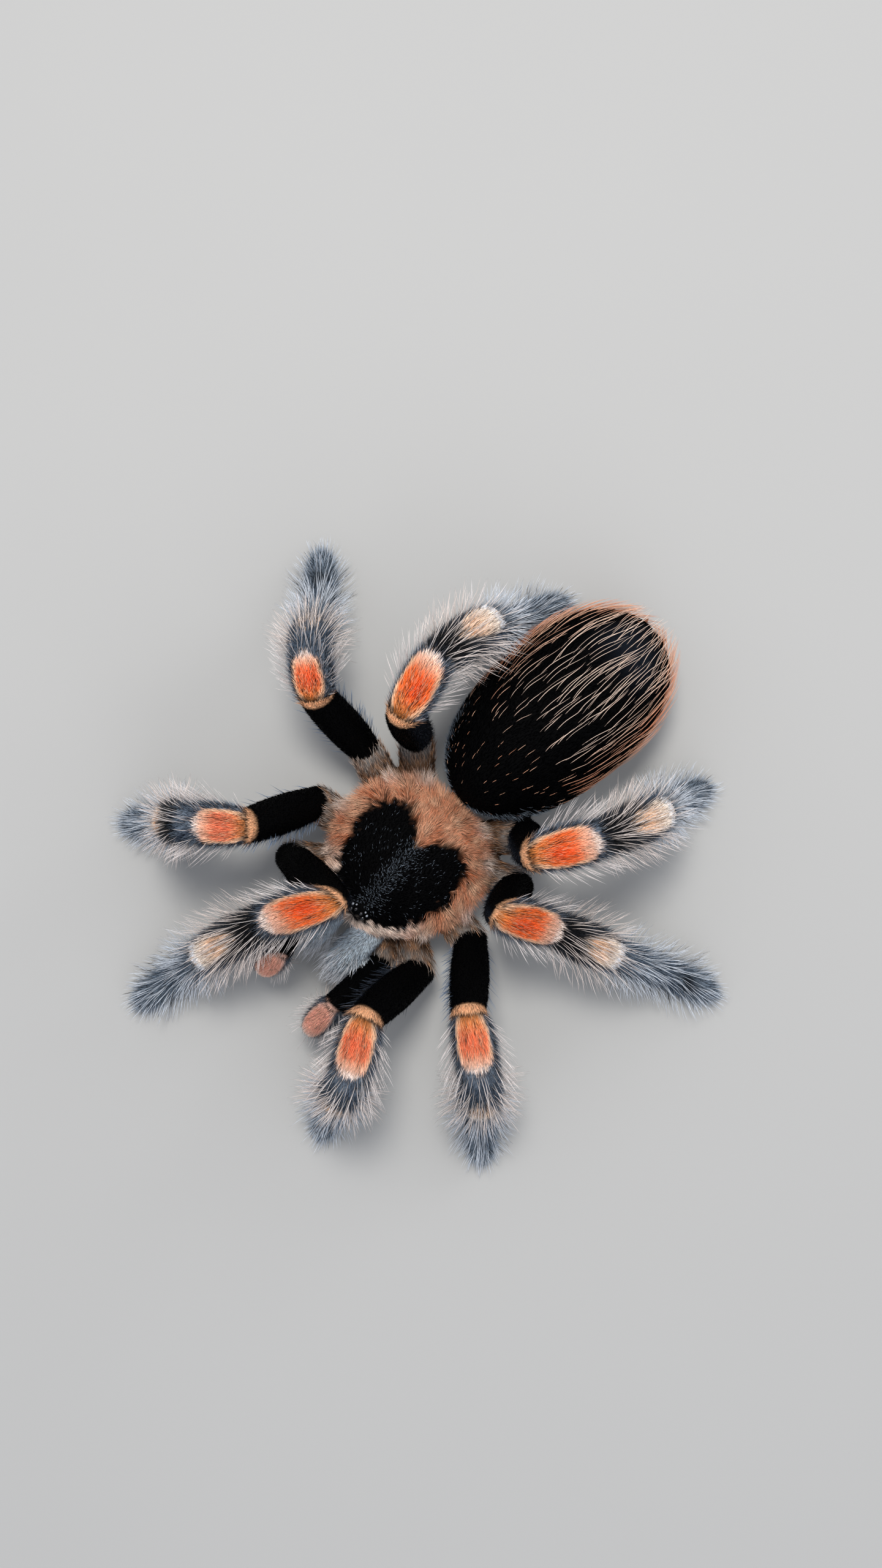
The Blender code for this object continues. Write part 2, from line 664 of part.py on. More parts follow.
def centre_on_floor(root):
    """Moves the whole animal so that its box stands on the origin."""
    bpy.context.view_layer.update()
    depsgraph = bpy.context.evaluated_depsgraph_get()
    low = Vector((math.inf,) * 3)
    high = Vector((-math.inf,) * 3)
    for obj in root.children:
        if obj.hide_render:
            continue
        shown = obj.evaluated_get(depsgraph)
        mesh = shown.to_mesh()
        for corner in mesh.vertices:
            place = obj.matrix_world @ corner.co
            low = Vector(map(min, low, place))
            high = Vector(map(max, high, place))
        shown.to_mesh_clear()
    root.location = (-(low.x + high.x) / 2, -(low.y + high.y) / 2, -low.z)


def main():
    clear_scene()
    root = bpy.data.objects.new("tarantula", None)
    bpy.context.scene.collection.objects.link(root)
    materials = build_materials()
    cutters = build_trunk(materials, root)
    build_limbs(materials, root, cutters)
    centre_on_floor(root)


main()
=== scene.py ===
import math

import bpy
import numpy as np
from mathutils import Matrix, Vector
from mathutils.bvhtree import BVHTree


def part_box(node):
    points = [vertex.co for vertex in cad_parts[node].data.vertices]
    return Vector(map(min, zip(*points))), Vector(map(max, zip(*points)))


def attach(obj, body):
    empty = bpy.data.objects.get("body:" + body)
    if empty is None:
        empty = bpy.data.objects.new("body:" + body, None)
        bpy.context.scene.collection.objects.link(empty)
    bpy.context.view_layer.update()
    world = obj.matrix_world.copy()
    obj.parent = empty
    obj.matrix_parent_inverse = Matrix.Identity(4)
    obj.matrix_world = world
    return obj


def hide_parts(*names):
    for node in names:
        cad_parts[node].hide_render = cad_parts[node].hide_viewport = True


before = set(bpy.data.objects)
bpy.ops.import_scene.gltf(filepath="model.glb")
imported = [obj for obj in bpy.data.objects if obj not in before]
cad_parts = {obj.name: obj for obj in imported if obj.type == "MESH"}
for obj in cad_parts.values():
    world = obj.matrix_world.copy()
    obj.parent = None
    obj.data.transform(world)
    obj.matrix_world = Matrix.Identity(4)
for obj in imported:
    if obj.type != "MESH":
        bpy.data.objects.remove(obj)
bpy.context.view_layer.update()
print("tarantula: frame loaded")

mm = 0.001
up = np.array((0.0, 0.0, 1.0))
bothSides = ((-1, "R"), (1, "L"))       # the right side lies towards minus x


def paint(red, green, blue):
    # a colour as a painter mixes it, 0 to 255, turned into linear light
    shares = np.array((red, green, blue)) / 255
    return np.where(shares <= 0.04045, shares / 12.92, ((shares + 0.055) / 1.055) ** 2.4)


def unit(vectors):
    return vectors / np.maximum(np.linalg.norm(vectors, axis=-1, keepdims=True), 1e-12)


def ramp(low, high, values):
    # 0 below low, 1 above high, smooth between
    share = np.clip((values - low) / (high - low), 0, 1)
    return share * share * (3 - 2 * share)


def bump(middle, width, values):
    # 1 at the middle, falling to 0 on both sides
    return np.exp(-((values - middle) / width) ** 2)


def over(under, colour, share):
    # a share of one colour laid over others
    return under + (colour - under) * np.asarray(share)[..., None]


def ripple(points, size, phase):
    # a smooth irregular wave between about -1 and 1, the same on each run
    total = np.zeros(len(points))
    for turn in range(6):
        angle = 2.4 * turn + phase
        lean = math.sin(1.7 * turn + 0.6 * phase)
        way = unit(np.array((math.cos(angle), math.sin(angle), lean)))
        total += np.sin(points @ way * (2 * math.pi / size) * (0.7 + 0.21 * turn) + 1.9 * turn * phase)
    return total / 3


class Wire:
    # a socket that can be written into sums
    def __init__(self, bench, socket):
        self.bench = bench
        self.socket = socket

    def join(self, operation, first, second):
        parts = (first, second)
        isVector = any(isinstance(p, Wire) and p.socket.type in ("VECTOR", "RGBA") for p in parts)
        if isVector:
            parts = [(p,) * 3 if isinstance(p, (int, float)) else p for p in parts]
        kind = "ShaderNodeVectorMath" if isVector else "ShaderNodeMath"
        return self.bench.node(kind, {"operation": operation}, {0: parts[0], 1: parts[1]})

    def __add__(self, other):
        return self.join("ADD", self, other)

    def __radd__(self, other):
        return self.join("ADD", other, self)

    def __sub__(self, other):
        return self.join("SUBTRACT", self, other)

    def __rsub__(self, other):
        return self.join("SUBTRACT", other, self)

    def __mul__(self, other):
        return self.join("MULTIPLY", self, other)

    def __rmul__(self, other):
        return self.join("MULTIPLY", other, self)

    def __truediv__(self, other):
        return self.join("DIVIDE", self, other)

    def __pow__(self, other):
        return self.join("POWER", self, other)


class Bench:
    # writes nodes into one tree
    def __init__(self, tree):
        self.tree = tree

    def live(self, sockets, key):
        ready = [s for s in sockets if s.enabled]
        return ready[key] if isinstance(key, int) else next(s for s in ready if s.name == key)

    def node(self, kind, settings=None, sockets=None, output=0):
        made = self.tree.nodes.new(kind)
        for name, value in (settings or {}).items():
            if name == "stops":
                for place, colour in value[2:]:
                    made.color_ramp.elements.new(place)
                for element, (place, colour) in zip(made.color_ramp.elements, value):
                    element.position = place
                    element.color = (*colour, 1.0)
            else:
                setattr(made, name, value)
        for name, value in (sockets or {}).items():
            socket = self.live(made.inputs, name)
            if isinstance(value, Wire):
                self.tree.links.new(value.socket, socket)
            else:
                socket.default_value = value
        return Wire(self, self.live(made.outputs, output)) if made.outputs else made

    def maths(self, operation, *values):
        return self.node("ShaderNodeMath", {"operation": operation}, dict(enumerate(values)))

    def vector(self, operation, *values):
        return self.node("ShaderNodeVectorMath", {"operation": operation}, dict(enumerate(values)))

    def combine(self, x, y, z):
        return self.node("ShaderNodeCombineXYZ", None, {0: x, 1: y, 2: z})

    def split(self, value, axis):
        return self.node("ShaderNodeSeparateXYZ", None, {0: value}, axis)

    def move(self, geometry, **places):
        return self.node("GeometryNodeSetPosition", None, {"Geometry": geometry, **places})

    def place(self):
        return self.node("ShaderNodeTexCoord", None, None, "Object")

    def attribute(self, name, kind="FLOAT_VECTOR"):
        return self.node("GeometryNodeInputNamedAttribute", {"data_type": kind}, {"Name": name})

    def painted(self, name, output="Fac"):
        # a value or colour kept on the mesh, for a finish
        return self.node("ShaderNodeAttribute", {"attribute_name": name}, None, output)

    def noise(self, scale, detail, roughness=0.5):
        return self.node("ShaderNodeTexNoise", None,
                         {"Vector": self.place(), "Scale": scale, "Detail": detail, "Roughness": roughness})

    def blend(self, share, first, second):
        first, second = (c if isinstance(c, Wire) else (*c, 1.0) for c in (first, second))
        return self.node("ShaderNodeMix", {"data_type": "RGBA"}, {"Factor": share, "A": first, "B": second})

    def randomValue(self, low, high, seed):
        return self.node("FunctionNodeRandomValue", {"data_type": "FLOAT"},
                         {"Min": low, "Max": high, "Seed": seed})

    def store(self, geometry, name, value, kind="FLOAT_VECTOR", domain="POINT"):
        return self.node("GeometryNodeStoreNamedAttribute", {"data_type": kind, "domain": domain},
                         {"Geometry": geometry, "Name": name, "Value": value})


# the skeleton is read from the solids
legSegments = ("femur", "patella", "tibia", "metatarsus", "tarsus")
palpSegments = ("femur", "patella", "tibia", "tarsus")
tipHeight = 1.3 * mm                            # of a foot's tip above the floor
tipDepth = 0.3 * mm                             # how much of a foot's end is taken for its tip
gapLow, gapHigh = 0.27 * mm, 0.36 * mm          # between the facing rings of neighbouring solids
fullSpan = 0.996                                # the share of a ring's width that counts as a full span


def nodeCorners(name):
    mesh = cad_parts[name].data
    flat = np.empty(len(mesh.vertices) * 3, np.float32)
    mesh.vertices.foreach_get("co", flat)
    return np.unique(np.round(flat.reshape(-1, 3).astype(float), 6), axis=0)


def jointBetween(near, far):
    # neighbours face each other with equal rings, a narrow gap apart; full spans cross at the joint
    nearCorners, farCorners = nodeCorners(near), nodeCorners(far)
    gaps = np.linalg.norm(nearCorners[:, None] - farCorners[None], axis=2)
    i, j = np.where((gaps > gapLow) & (gaps < gapHigh))
    ring = (nearCorners[i] + farCorners[j]) / 2
    spans = np.linalg.norm(ring[:, None] - ring[None], axis=2)
    i, j = np.where(spans > fullSpan * spans.max())
    return ((ring[i] + ring[j]) / 2).mean(0)


def footTip(name, ankle):
    corners = nodeCorners(name)
    reach = np.linalg.norm((corners - ankle)[:, :2], axis=1)
    tip = corners[reach > reach.max() - tipDepth].mean(0)
    tip[2] = tipHeight
    return tip


carapaceLow, carapaceHigh = (np.array(corner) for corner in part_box("carapace"))
carapaceFront = 11.33 * mm        # from the carapace's middle to its front edge
trunkMiddle = np.array(((carapaceLow[0] + carapaceHigh[0]) / 2, carapaceLow[1] + carapaceFront, 0.0))


def trunk(x, y, z):
    # a place on the trunk, in millimetres from the carapace's middle and the floor
    return trunkMiddle + mm * np.array((x, y, z))


parts = []         # every stretch of the body
shells = []        # corners and faces of each part's closed shell


def addPart(name, kind, group, start, end, dorsal, cell, shell, limb="", seams=None):
    start, end = np.asarray(start, float), np.asarray(end, float)
    length = np.linalg.norm(end - start)
    axis = (end - start) / length
    dorsal = unit(dorsal - axis * (dorsal @ axis))
    parts.append({"name": name, "kind": kind, "group": group, "start": start, "length": length, "axis": axis,
                  "dorsal": dorsal, "side": np.cross(axis, dorsal), "cell": cell, "limb": limb,
                  "seams": seams or (axis, axis)})
    shells.append(shell(parts[-1]))


def loftShell(rings):
    # rings of equal count, closed by a corner in the middle of each end
    sides = len(rings[0])
    corners = np.vstack([rings[0].mean(0), *rings, rings[-1].mean(0)])
    faces = [(0, 1 + (i + 1) % sides, 1 + i) for i in range(sides)]
    for band in range(len(rings) - 1):
        low, high = 1 + band * sides, 1 + (band + 1) * sides
        faces += [(low + i, low + (i + 1) % sides, high + (i + 1) % sides, high + i) for i in range(sides)]
    last = 1 + (len(rings) - 1) * sides
    faces += [(last + i, last + (i + 1) % sides, len(corners) - 1) for i in range(sides)]
    return corners, faces


def ringRound(centre, across, upward, sides=24, lowest=0.0):
    angles = 2 * math.pi * np.arange(sides) / sides
    ring = centre + np.cos(angles)[:, None] * across + np.sin(angles)[:, None] * upward
    ring[:, 2] = np.maximum(ring[:, 2], lowest)
    return ring


def limbShell(radii, depth=1.0, tipStretch=1.0, lowest=0.25 * mm):
    # a stretch of limb: swollen between its ends, with round ends that fill the joints
    def build(part):
        rings = []
        rounding = np.radians((25, 50, 75))
        stations = [(-radii[0] * math.sin(turn), radii[0] * math.cos(turn)) for turn in rounding[::-1]]
        for t in np.linspace(0, 1, 13):
            swell = radii[1] - (radii[0] + radii[2]) / 2
            size = radii[0] + (radii[2] - radii[0]) * t + swell * math.sin(math.pi * t) ** 0.9
            stations.append((part["length"] * t, size))
        for turn in rounding:
            beyond = radii[2] * tipStretch * math.sin(turn)
            stations.append((part["length"] + beyond, radii[2] * math.cos(turn)))
        for distance, size in stations:
            centre = part["start"] + part["axis"] * distance
            rings.append(ringRound(centre, part["side"] * size, part["dorsal"] * size * depth, lowest=lowest))
        return loftShell(rings)
    return build


# skin radii in millimetres at each segment's start, fullest place and end
skinRadii = {
    "femur": (2.1, 2.60, 2.25),
    "patella": (2.2, 2.70, 2.35),
    "tibia": (2.15, 2.75, 2.3),
    "metatarsus": (1.95, 2.15, 1.85),
    "tarsus": (1.75, 2.0, 1.7),
}
palpSkinRadii = {
    "femur": (1.35, 1.65, 1.55),
    "patella": (1.55, 1.9, 1.6),
    "tibia": (1.5, 1.85, 1.5),
    "tarsus": (1.35, 1.45, 1.0),
}
coxaRadii = {"leg": 2.45, "palp": 1.65}
upShare = 1.6          # how far a segment turns its back straight up, not square to its bends
footShare = {"leg_L1": 0.6, "leg_L2": 0.66, "leg_R3": 0.72, "leg_L3": 0.68, "leg_L4": 0.6}
otherFeet = 0.78       # how much of a foot is skin, where footShare doesn't say
limbJoints = {}


def buildLimbs():
    for sign, sideName in bothSides:
        group = "right" if sideName == "R" else "left"
        rows = [f"leg_{sideName}{number}" for number in (1, 2, 3, 4)] + [f"palp_{sideName}"]
        for row, limb in enumerate(rows):
            isPalp = limb.startswith("palp")
            segments = palpSegments if isPalp else legSegments
            names = [f"coxae_{sideName}"] + [f"{limb}_{segment}" for segment in segments]
            joints = [jointBetween(a, b) for a, b in zip(names, names[1:])]
            tip = footTip(names[-1], joints[-1])
            joints.append(joints[-1] + (tip - joints[-1]) * footShare.get(limb, otherFeet))
            limbJoints[limb] = joints
            ways = [unit(b - a) for a, b in zip(joints, joints[1:])]
            inner = trunk(sign * 3.0, -5.0 if isPalp else (joints[0] - trunkMiddle)[1] / mm * 0.44, 5.2)
            ways = [unit(joints[0] - inner)] + ways
            # neighbours part at the plane that halves their bend
            seams = [unit(a + b) for a, b in zip(ways, ways[1:])] + [ways[-1]]
            radii = palpSkinRadii if isPalp else skinRadii
            for i, segment in enumerate(segments):
                dorsal = up if segment == "tarsus" else ways[i] - ways[i + 2] + upShare * up
                sizes = [mm * size for size in radii[segment]]
                shell = limbShell(sizes, tipStretch=1.5 if segment == "tarsus" else 1.0)
                addPart(names[i + 1], segment, group, joints[i], joints[i + 1], dorsal,
                        (i * 0.2, row * 0.2, 0.19, 0.19), shell, limb, (seams[i], seams[i + 1]))
            size = mm * coxaRadii["palp" if isPalp else "leg"]
            cell = ((4 - row) * 0.2, 0.5 if sideName == "R" else 0.75, 0.18, 0.2)
            addPart(f"coxa_{limb}", "coxa", "trunk", inner, joints[0], up, cell,
                    limbShell((size * 0.75, size, size * 0.93), lowest=1.7 * mm), limb, (ways[0], seams[0]))


buildLimbs()


# the trunk's skin keeps the solids' outlines, drawn in by the coat's depth in millimetres
trunkCoat = {"carapace": 0.5, "rim": 0.15, "abdomen": 0.35, "jaw": 0.5}
carapaceSides = 64
sternumSides = 32


def turnsOf(sideCount):
    return 2 * math.pi * np.arange(sideCount) / sideCount


def wrapped(angle):
    # the same direction, between minus and plus half a turn
    return np.remainder(angle + math.pi, 2 * math.pi) - math.pi


def carapaceRim(angle):
    degrees = np.abs(np.degrees(wrapped(angle)))
    cheek = 0.9 * np.exp(-((degrees - 55) / 28) ** 2)
    front = 0.35 * np.exp(-(degrees / 35) ** 2)
    notch = 0.8 * np.exp(-((degrees - 180) / 18) ** 2)
    return 11.0 - cheek + front - notch


def carapaceTop(x, y, share):
    dome = (1 - np.minimum(share, 1.0) ** 2.4) ** 0.75
    head = 0.7 * np.exp(-(x / 4.5) ** 2 - ((y + 5.5) / 4.0) ** 2)
    dent = 0.9 * np.exp(-(x / 1.9) ** 2 - ((y - 3.7) / 0.8) ** 2)
    return 10.0 + 3.4 * dome + head * dome - dent


def carapaceGrooves(x, y, share):
    # shallow furrows that run out from the pit to the rim, and the two that mark off the head
    angle = np.arctan2(x, -(y - 3.0))
    depth = np.zeros_like(share)
    for middle, width in ((28, 6), (72, 7), (112, 7), (150, 7)):
        for sign, _ in bothSides:
            gap = np.degrees(np.abs(wrapped(angle - math.radians(sign * middle))))
            depth += (0.34 if middle == 28 else 0.2) * np.exp(-(gap / width) ** 2)
    return depth * ramp(0.12, 0.35, share) * (1 - ramp(0.72, 0.95, share))


def carapaceShell(part):
    angles = turnsOf(carapaceSides)
    inset = trunkCoat["carapace"]
    rings = []
    for share, level in ((0.5, 9.2), (0.86, 9.1), (0.97, 9.25), (1.0, 9.6)):
        reach = (carapaceRim(angles) - trunkCoat["rim"]) * share
        rings.append(np.c_[reach * np.sin(angles), -reach * np.cos(angles), np.full(carapaceSides, level)])
    for share in (0.985, 0.95, 0.9, 0.84, 0.77, 0.69, 0.6, 0.5, 0.4, 0.3, 0.2, 0.1):
        reach = (carapaceRim(angles) - trunkCoat["rim"]) * share
        x, y = reach * np.sin(angles), -reach * np.cos(angles)
        shares = np.full(carapaceSides, share)
        rings.append(np.c_[x, y, carapaceTop(x, y, shares) - inset - carapaceGrooves(x, y, shares)])
    corners, faces = loftShell(rings)
    return trunkMiddle + mm * corners, faces


def sternumShell(part):
    angles = turnsOf(sternumSides)
    rings = []
    for level, scale in ((3.1, 0.3), (3.15, 0.6), (3.4, 0.86), (4.0, 0.98), (5.5, 1.0), (8.9, 1.0)):
        x, y = 3.9 * scale * np.sin(angles), 0.9 - 6.6 * scale * np.cos(angles)
        rings.append(np.c_[x, y, np.full(sternumSides, level)])
    corners, faces = loftShell(rings)
    return trunkMiddle + mm * corners, faces


abdomenFront = np.array((-0.3, 10.6))
abdomenRear = np.array((4.7, 47.7))
widestPlace = 0.57             # from the abdomen's front to its rear


def abdomenProfile(t):
    share = (widestPlace - t) / widestPlace if t < widestPlace else (t - widestPlace) / (1 - widestPlace)
    return math.sqrt(max(0.0, 1 - share ** (2.6 if t < widestPlace else 2.15)))


def abdomenShell(part):
    inset = trunkCoat["abdomen"]
    across = np.array((part["axis"][1], -part["axis"][0], 0.0))
    rings = []
    for i in range(41):
        t = 0.5 - 0.5 * math.cos(math.pi * (0.05 + 0.9 * i / 40))
        x, y = abdomenFront + (abdomenRear - abdomenFront) * (0.02 + 0.955 * t)
        z = 10.7 - 1.6 * (1 - t) ** 3 - 1.9 * t ** 4
        share = abdomenProfile(t)
        width = max(11.1 * share - inset, 0.4)
        height = max(9.6 * share ** 0.92 - inset, 0.4)
        # a furrow across the belly behind the lungs
        furrow = 0.35 * math.exp(-((t - 0.33) / 0.02) ** 2)
        ring = ringRound(trunk(x, y, z), across * mm * width, up * mm * height, 48, 1.75 * mm)
        ring[:, 2] += furrow * mm * (ring[:, 2] < trunk(0, 0, z - 0.6 * height)[2])
        rings.append(ring)
    return loftShell(rings)


def jawShell(sign):
    def build(part):
        inset = trunkCoat["jaw"]
        rings = []
        stations = ((-9.6, 7.8, 2.2, 1.9, 0), (-11.0, 8.1, 2.5, 2.7, 5), (-12.4, 8.3, 2.56, 3.2, 12),
                    (-14.0, 8.2, 2.62, 3.7, 22), (-15.2, 7.7, 2.6, 3.65, 32), (-16.3, 6.9, 2.45, 3.2, 44),
                    (-17.1, 6.0, 2.05, 2.45, 54), (-17.5, 5.3, 1.5, 1.6, 62))
        for along, high, width, height, lean in stations:
            tilt = math.radians(lean)
            upward = np.array((0.0, -math.sin(tilt), math.cos(tilt)))
            sideways = np.array((1, 0, 0)) * mm * (width - inset * 0.75)
            upright = upward * mm * (height - inset)
            rings.append(ringRound(trunk(sign * 2.9, along, high), sideways, upright, 32))
        return loftShell(rings)
    return build


def moundShell(part):
    # the low hill that carries the eyes
    rings = []
    for height, scale in ((-1.2, 1.15), (-0.3, 1.08), (0.25, 0.98), (0.55, 0.82), (0.75, 0.6), (0.85, 0.3)):
        sideways, lengthways = np.array((1.55 * scale * mm, 0, 0)), np.array((0, 1.05 * scale * mm, 0))
        rings.append(ringRound(trunk(0, eyeAlong, moundBase + height), sideways, lengthways, 24))
    return loftShell(rings)


def spinneretShell(part):
    # three short joints that thin towards a round tip, with a slight sag
    rings = []
    for i in range(19):
        t = i / 18
        knuckle = 1 - 0.16 * math.exp(-((t - 0.36) / 0.045) ** 2) - 0.16 * math.exp(-((t - 0.7) / 0.04) ** 2)
        roundTip = math.sqrt(max(0.02, 1 - max(0.0, t - 0.9) ** 2 * 90))
        size = mm * (0.66 - 0.3 * t ** 1.5) * knuckle * roundTip
        sag = part["dorsal"] * mm * 0.35 * (t * t - t)
        centre = part["start"] + part["axis"] * part["length"] * t + sag
        rings.append(ringRound(centre, part["side"] * size, part["dorsal"] * size, 16))
    return loftShell(rings)


eyeAlong = -9.2
moundBase = float(carapaceTop(0.0, eyeAlong, abs(eyeAlong) / float(carapaceRim(np.array(0.0))))) - 0.35


def buildTrunk():
    def stub(*sizes, depth=1.0):
        return limbShell([mm * size for size in sizes], depth)

    def onTrunk(name, kind, start, end, dorsal, cell, shell, group="trunk"):
        addPart(name, kind, group, start, end, dorsal, cell, shell)

    onTrunk("carapace", "carapace", trunk(0, -11, 9.5), trunk(0, 11, 9.5), up, (0.0, 0.0, 0.48, 0.48),
            carapaceShell)
    onTrunk("eyeMound", "mound", trunk(0, eyeAlong - 1.1, 12), trunk(0, eyeAlong + 1.0, 12), up,
            (0.5, 0.3, 0.08, 0.08), moundShell)
    onTrunk("sternum", "sternum", trunk(0, -6.2, 5), trunk(0, 8.0, 5), -up, (0.5, 0.0, 0.28, 0.28),
            sternumShell)
    for sign, sideName in bothSides:
        onTrunk(f"jaw_{sideName}", "jaw", trunk(sign * 2.9, -9.4, 8.6), trunk(sign * 2.9, -18.0, 5.4), up,
                (0.6 if sign < 0 else 0.8, 0.3, 0.18, 0.19), jawShell(sign))
    onTrunk("lip", "sternum", trunk(0, -5.0, 4.4), trunk(0, -8.2, 4.6), -up, (0.8, 0.0, 0.08, 0.08),
            stub(1.3, 1.4, 1.0))
    onTrunk("waist", "pedicel", trunk(-0.1, 6.5, 7.0), trunk(-0.2, 13.0, 7.6), up, (0.8, 0.1, 0.1, 0.1),
            stub(1.5, 1.25, 1.5))

    front = trunk(*abdomenFront, 10.0)
    rear = trunk(*abdomenRear, 10.0)
    onTrunk("abdomen", "abdomen", front, rear, up, (0.02, 0.02, 0.96, 0.8), abdomenShell, "abdomen")
    back = unit((rear - front) * np.array((1, 1, 0)))
    across = np.array((back[1], -back[0], 0.0))
    root = trunk(*abdomenRear, 8.8) - back * 4.6 * mm - up * 6.5 * mm
    for sign, sideName in bothSides:
        start = root + across * sign * 0.95 * mm - back * 0.6 * mm
        end = root + back * 5.25 * mm + across * sign * 1.95 * mm + up * 1.0 * mm
        onTrunk(f"spinneret_{sideName}", "spinneret", start, end, up,
                (0.05 if sign < 0 else 0.3, 0.86, 0.2, 0.1), spinneretShell, "abdomen")
        start = root + across * sign * 0.45 * mm - back * 0.2 * mm - up * 0.3 * mm
        end = root + back * 1.3 * mm + across * sign * 0.5 * mm - up * 0.75 * mm
        onTrunk(f"smallSpinneret_{sideName}", "spinneret", start, end, up,
                (0.55 if sign < 0 else 0.75, 0.86, 0.15, 0.1), stub(0.45, 0.42, 0.25), "abdomen")
    onTrunk("spinneretKnob", "spinneret", root - back * 1.6 * mm, root + back * 0.9 * mm, up,
            (0.92, 0.86, 0.07, 0.1), stub(1.1, 1.35, 0.9, depth=0.7), "abdomen")


buildTrunk()
print("tarantula:", len(parts), "stretches of body laid out")


# one skin is grown over all the stretches of body
skinLook = {"voxel": 0.42 * mm, "smoothing": 0.5, "smoothingRounds": 4, "jointReach": 3.4 * mm}


def meshFromArrays(name, corners, faces):
    mesh = bpy.data.meshes.new(name)
    mesh.from_pydata([tuple(c) for c in corners], [], [tuple(f) for f in faces])
    mesh.update()
    return mesh


def showObject(name, data):
    piece = bpy.data.objects.new(name, data)
    bpy.context.scene.collection.objects.link(piece)
    return piece


def asPlainMesh(piece, name):
    # the object with its modifiers turned into a plain mesh
    graph = bpy.context.evaluated_depsgraph_get()
    graph.update()
    mesh = bpy.data.meshes.new_from_object(piece.evaluated_get(graph), preserve_all_data_layers=True,
                                           depsgraph=graph)
    mesh.name = name
    return mesh


def joinShells(made):
    # several closed shells as one list of corners and one of faces
    corners, faces = [], []
    for shellCorners, shellFaces in made:
        first = len(corners)
        corners += [tuple(c) for c in shellCorners]
        faces += [tuple(first + i for i in face) for face in shellFaces]
    return corners, faces


def growSkin():
    corners, faces = joinShells(shells)
    owners = np.repeat(np.arange(len(shells)), [len(shellFaces) for _, shellFaces in shells])
    rough = showObject("roughBody", meshFromArrays("roughBody", corners, faces))
    remesh = rough.modifiers.new("oneSkin", "REMESH")
    remesh.mode = "VOXEL"
    remesh.voxel_size = skinLook["voxel"]
    remesh.use_smooth_shade = True
    smooth = rough.modifiers.new("soften", "SMOOTH")
    smooth.factor = skinLook["smoothing"]
    smooth.iterations = skinLook["smoothingRounds"]
    mesh = asPlainMesh(rough, "skin")
    bpy.data.objects.remove(rough)
    tree = BVHTree.FromPolygons([Vector(c) for c in corners], faces)
    nearest = [tree.find_nearest(v.co)[2] for v in mesh.vertices]
    return mesh, splitAtSeams(readArray(mesh.vertices, "co", 3), owners[np.array(nearest)])


def readArray(collection, field, width, kind=np.float32):
    flat = np.empty(len(collection) * width, kind)
    collection.foreach_get(field, flat)
    return flat.reshape(-1, width) if width > 1 else flat


def splitAtSeams(points, owner):
    # where two stretches of a limb share a rounded joint, each keeps its own side of the seam
    number = {part["name"]: i for i, part in enumerate(parts)}
    for limb in limbJoints:
        segments = palpSegments if limb.startswith("palp") else legSegments
        chain = [number[f"coxa_{limb}"]] + [number[f"{limb}_{segment}"] for segment in segments]
        for near, far in zip(chain, chain[1:]):
            arm = points - parts[far]["start"]
            close = np.isin(owner, (near, far)) & (np.linalg.norm(arm, axis=1) < skinLook["jointReach"])
            owner[close] = np.where(arm[close] @ parts[far]["seams"][0] > 0, far, near)
    return owner


def partPlaces(points, owners):
    # how far along its part each point is (0 to 1), and how far round from the part's back
    along = np.zeros(len(points))
    around = np.zeros(len(points))
    for number, part in enumerate(parts):
        mine = owners == number
        arm = points[mine] - part["start"]
        if part["kind"] in ("carapace", "mound"):
            x, y = ((points[mine] - trunkMiddle) / mm)[:, :2].T
            angle = np.arctan2(x, -y)
            along[mine] = np.hypot(x, y) / carapaceRim(angle)
            around[mine] = angle
        else:
            axis, length = part["axis"], part["length"]
            distance = arm @ axis
            radial = arm - distance[:, None] * axis
            first = -(radial @ part["seams"][0]) / (axis @ part["seams"][0])
            last = length - (radial @ part["seams"][1]) / (axis @ part["seams"][1])
            span = np.maximum(last - first, 0.4 * length)
            along[mine] = 0.5 + (distance - (first + last) / 2) / span
            around[mine] = np.arctan2(radial @ part["side"], radial @ part["dorsal"])
    return along, around


skinMesh, skinOwner = growSkin()
print("tarantula: skin of", len(skinMesh.polygons), "faces")


class BodyMap:
    # what each corner of the skin belongs to
    def __init__(self, mesh, owners):
        self.points = readArray(mesh.vertices, "co", 3).astype(float)
        self.normals = readArray(mesh.vertex_normals, "vector", 3).astype(float)
        self.owner = owners
        self.along, self.around = partPlaces(self.points, owners)
        self.away = np.abs(self.around)
        self.kind, self.group, self.limb, self.axis = (
            np.array([part[key] for part in parts])[owners] for key in ("kind", "group", "limb", "axis"))
        self.palp = np.char.startswith(self.limb, "palp")
        self.x, self.y, self.z = ((self.points - trunkMiddle) / mm).T

    def on(self, *names):
        return np.isin(self.kind, names)


body = BodyMap(skinMesh, skinOwner)


# markings, shared by skin and coat
kneeReach = {"leg_R1": 0.88, "leg_R2": 0.66, "leg_R3": 0.8, "leg_R4": 0.9, "leg_L1": 0.7, "leg_L2": 0.72,
             "leg_L3": 0.95, "leg_L4": 0.88, "palp_R": 0.9, "palp_L": 0.9}       # where each orange ends
kneeHeat = {"leg_R1": 1.0, "leg_R2": 0.05, "leg_R3": 0.6, "leg_R4": 1.0, "leg_L1": 0.25, "leg_L2": 0.25,
            "leg_L3": 1.0, "leg_L4": 0.9, "palp_R": 0.0, "palp_L": 0.0}         # from salmon to full orange
wedgeShow = {"leg_R3": 0.2, "leg_L1": 0.4, "leg_L2": 0.5}     # how plain each tibia's cream wedge is, else 1
baseShow = {"leg_R3": 0.2, "leg_L1": 0.3, "leg_L2": 0.25}     # how black each tibia starts, else 1
tuftPlaces = (58, 92, 130, 154)     # degrees round the carapace from its front, on both sides
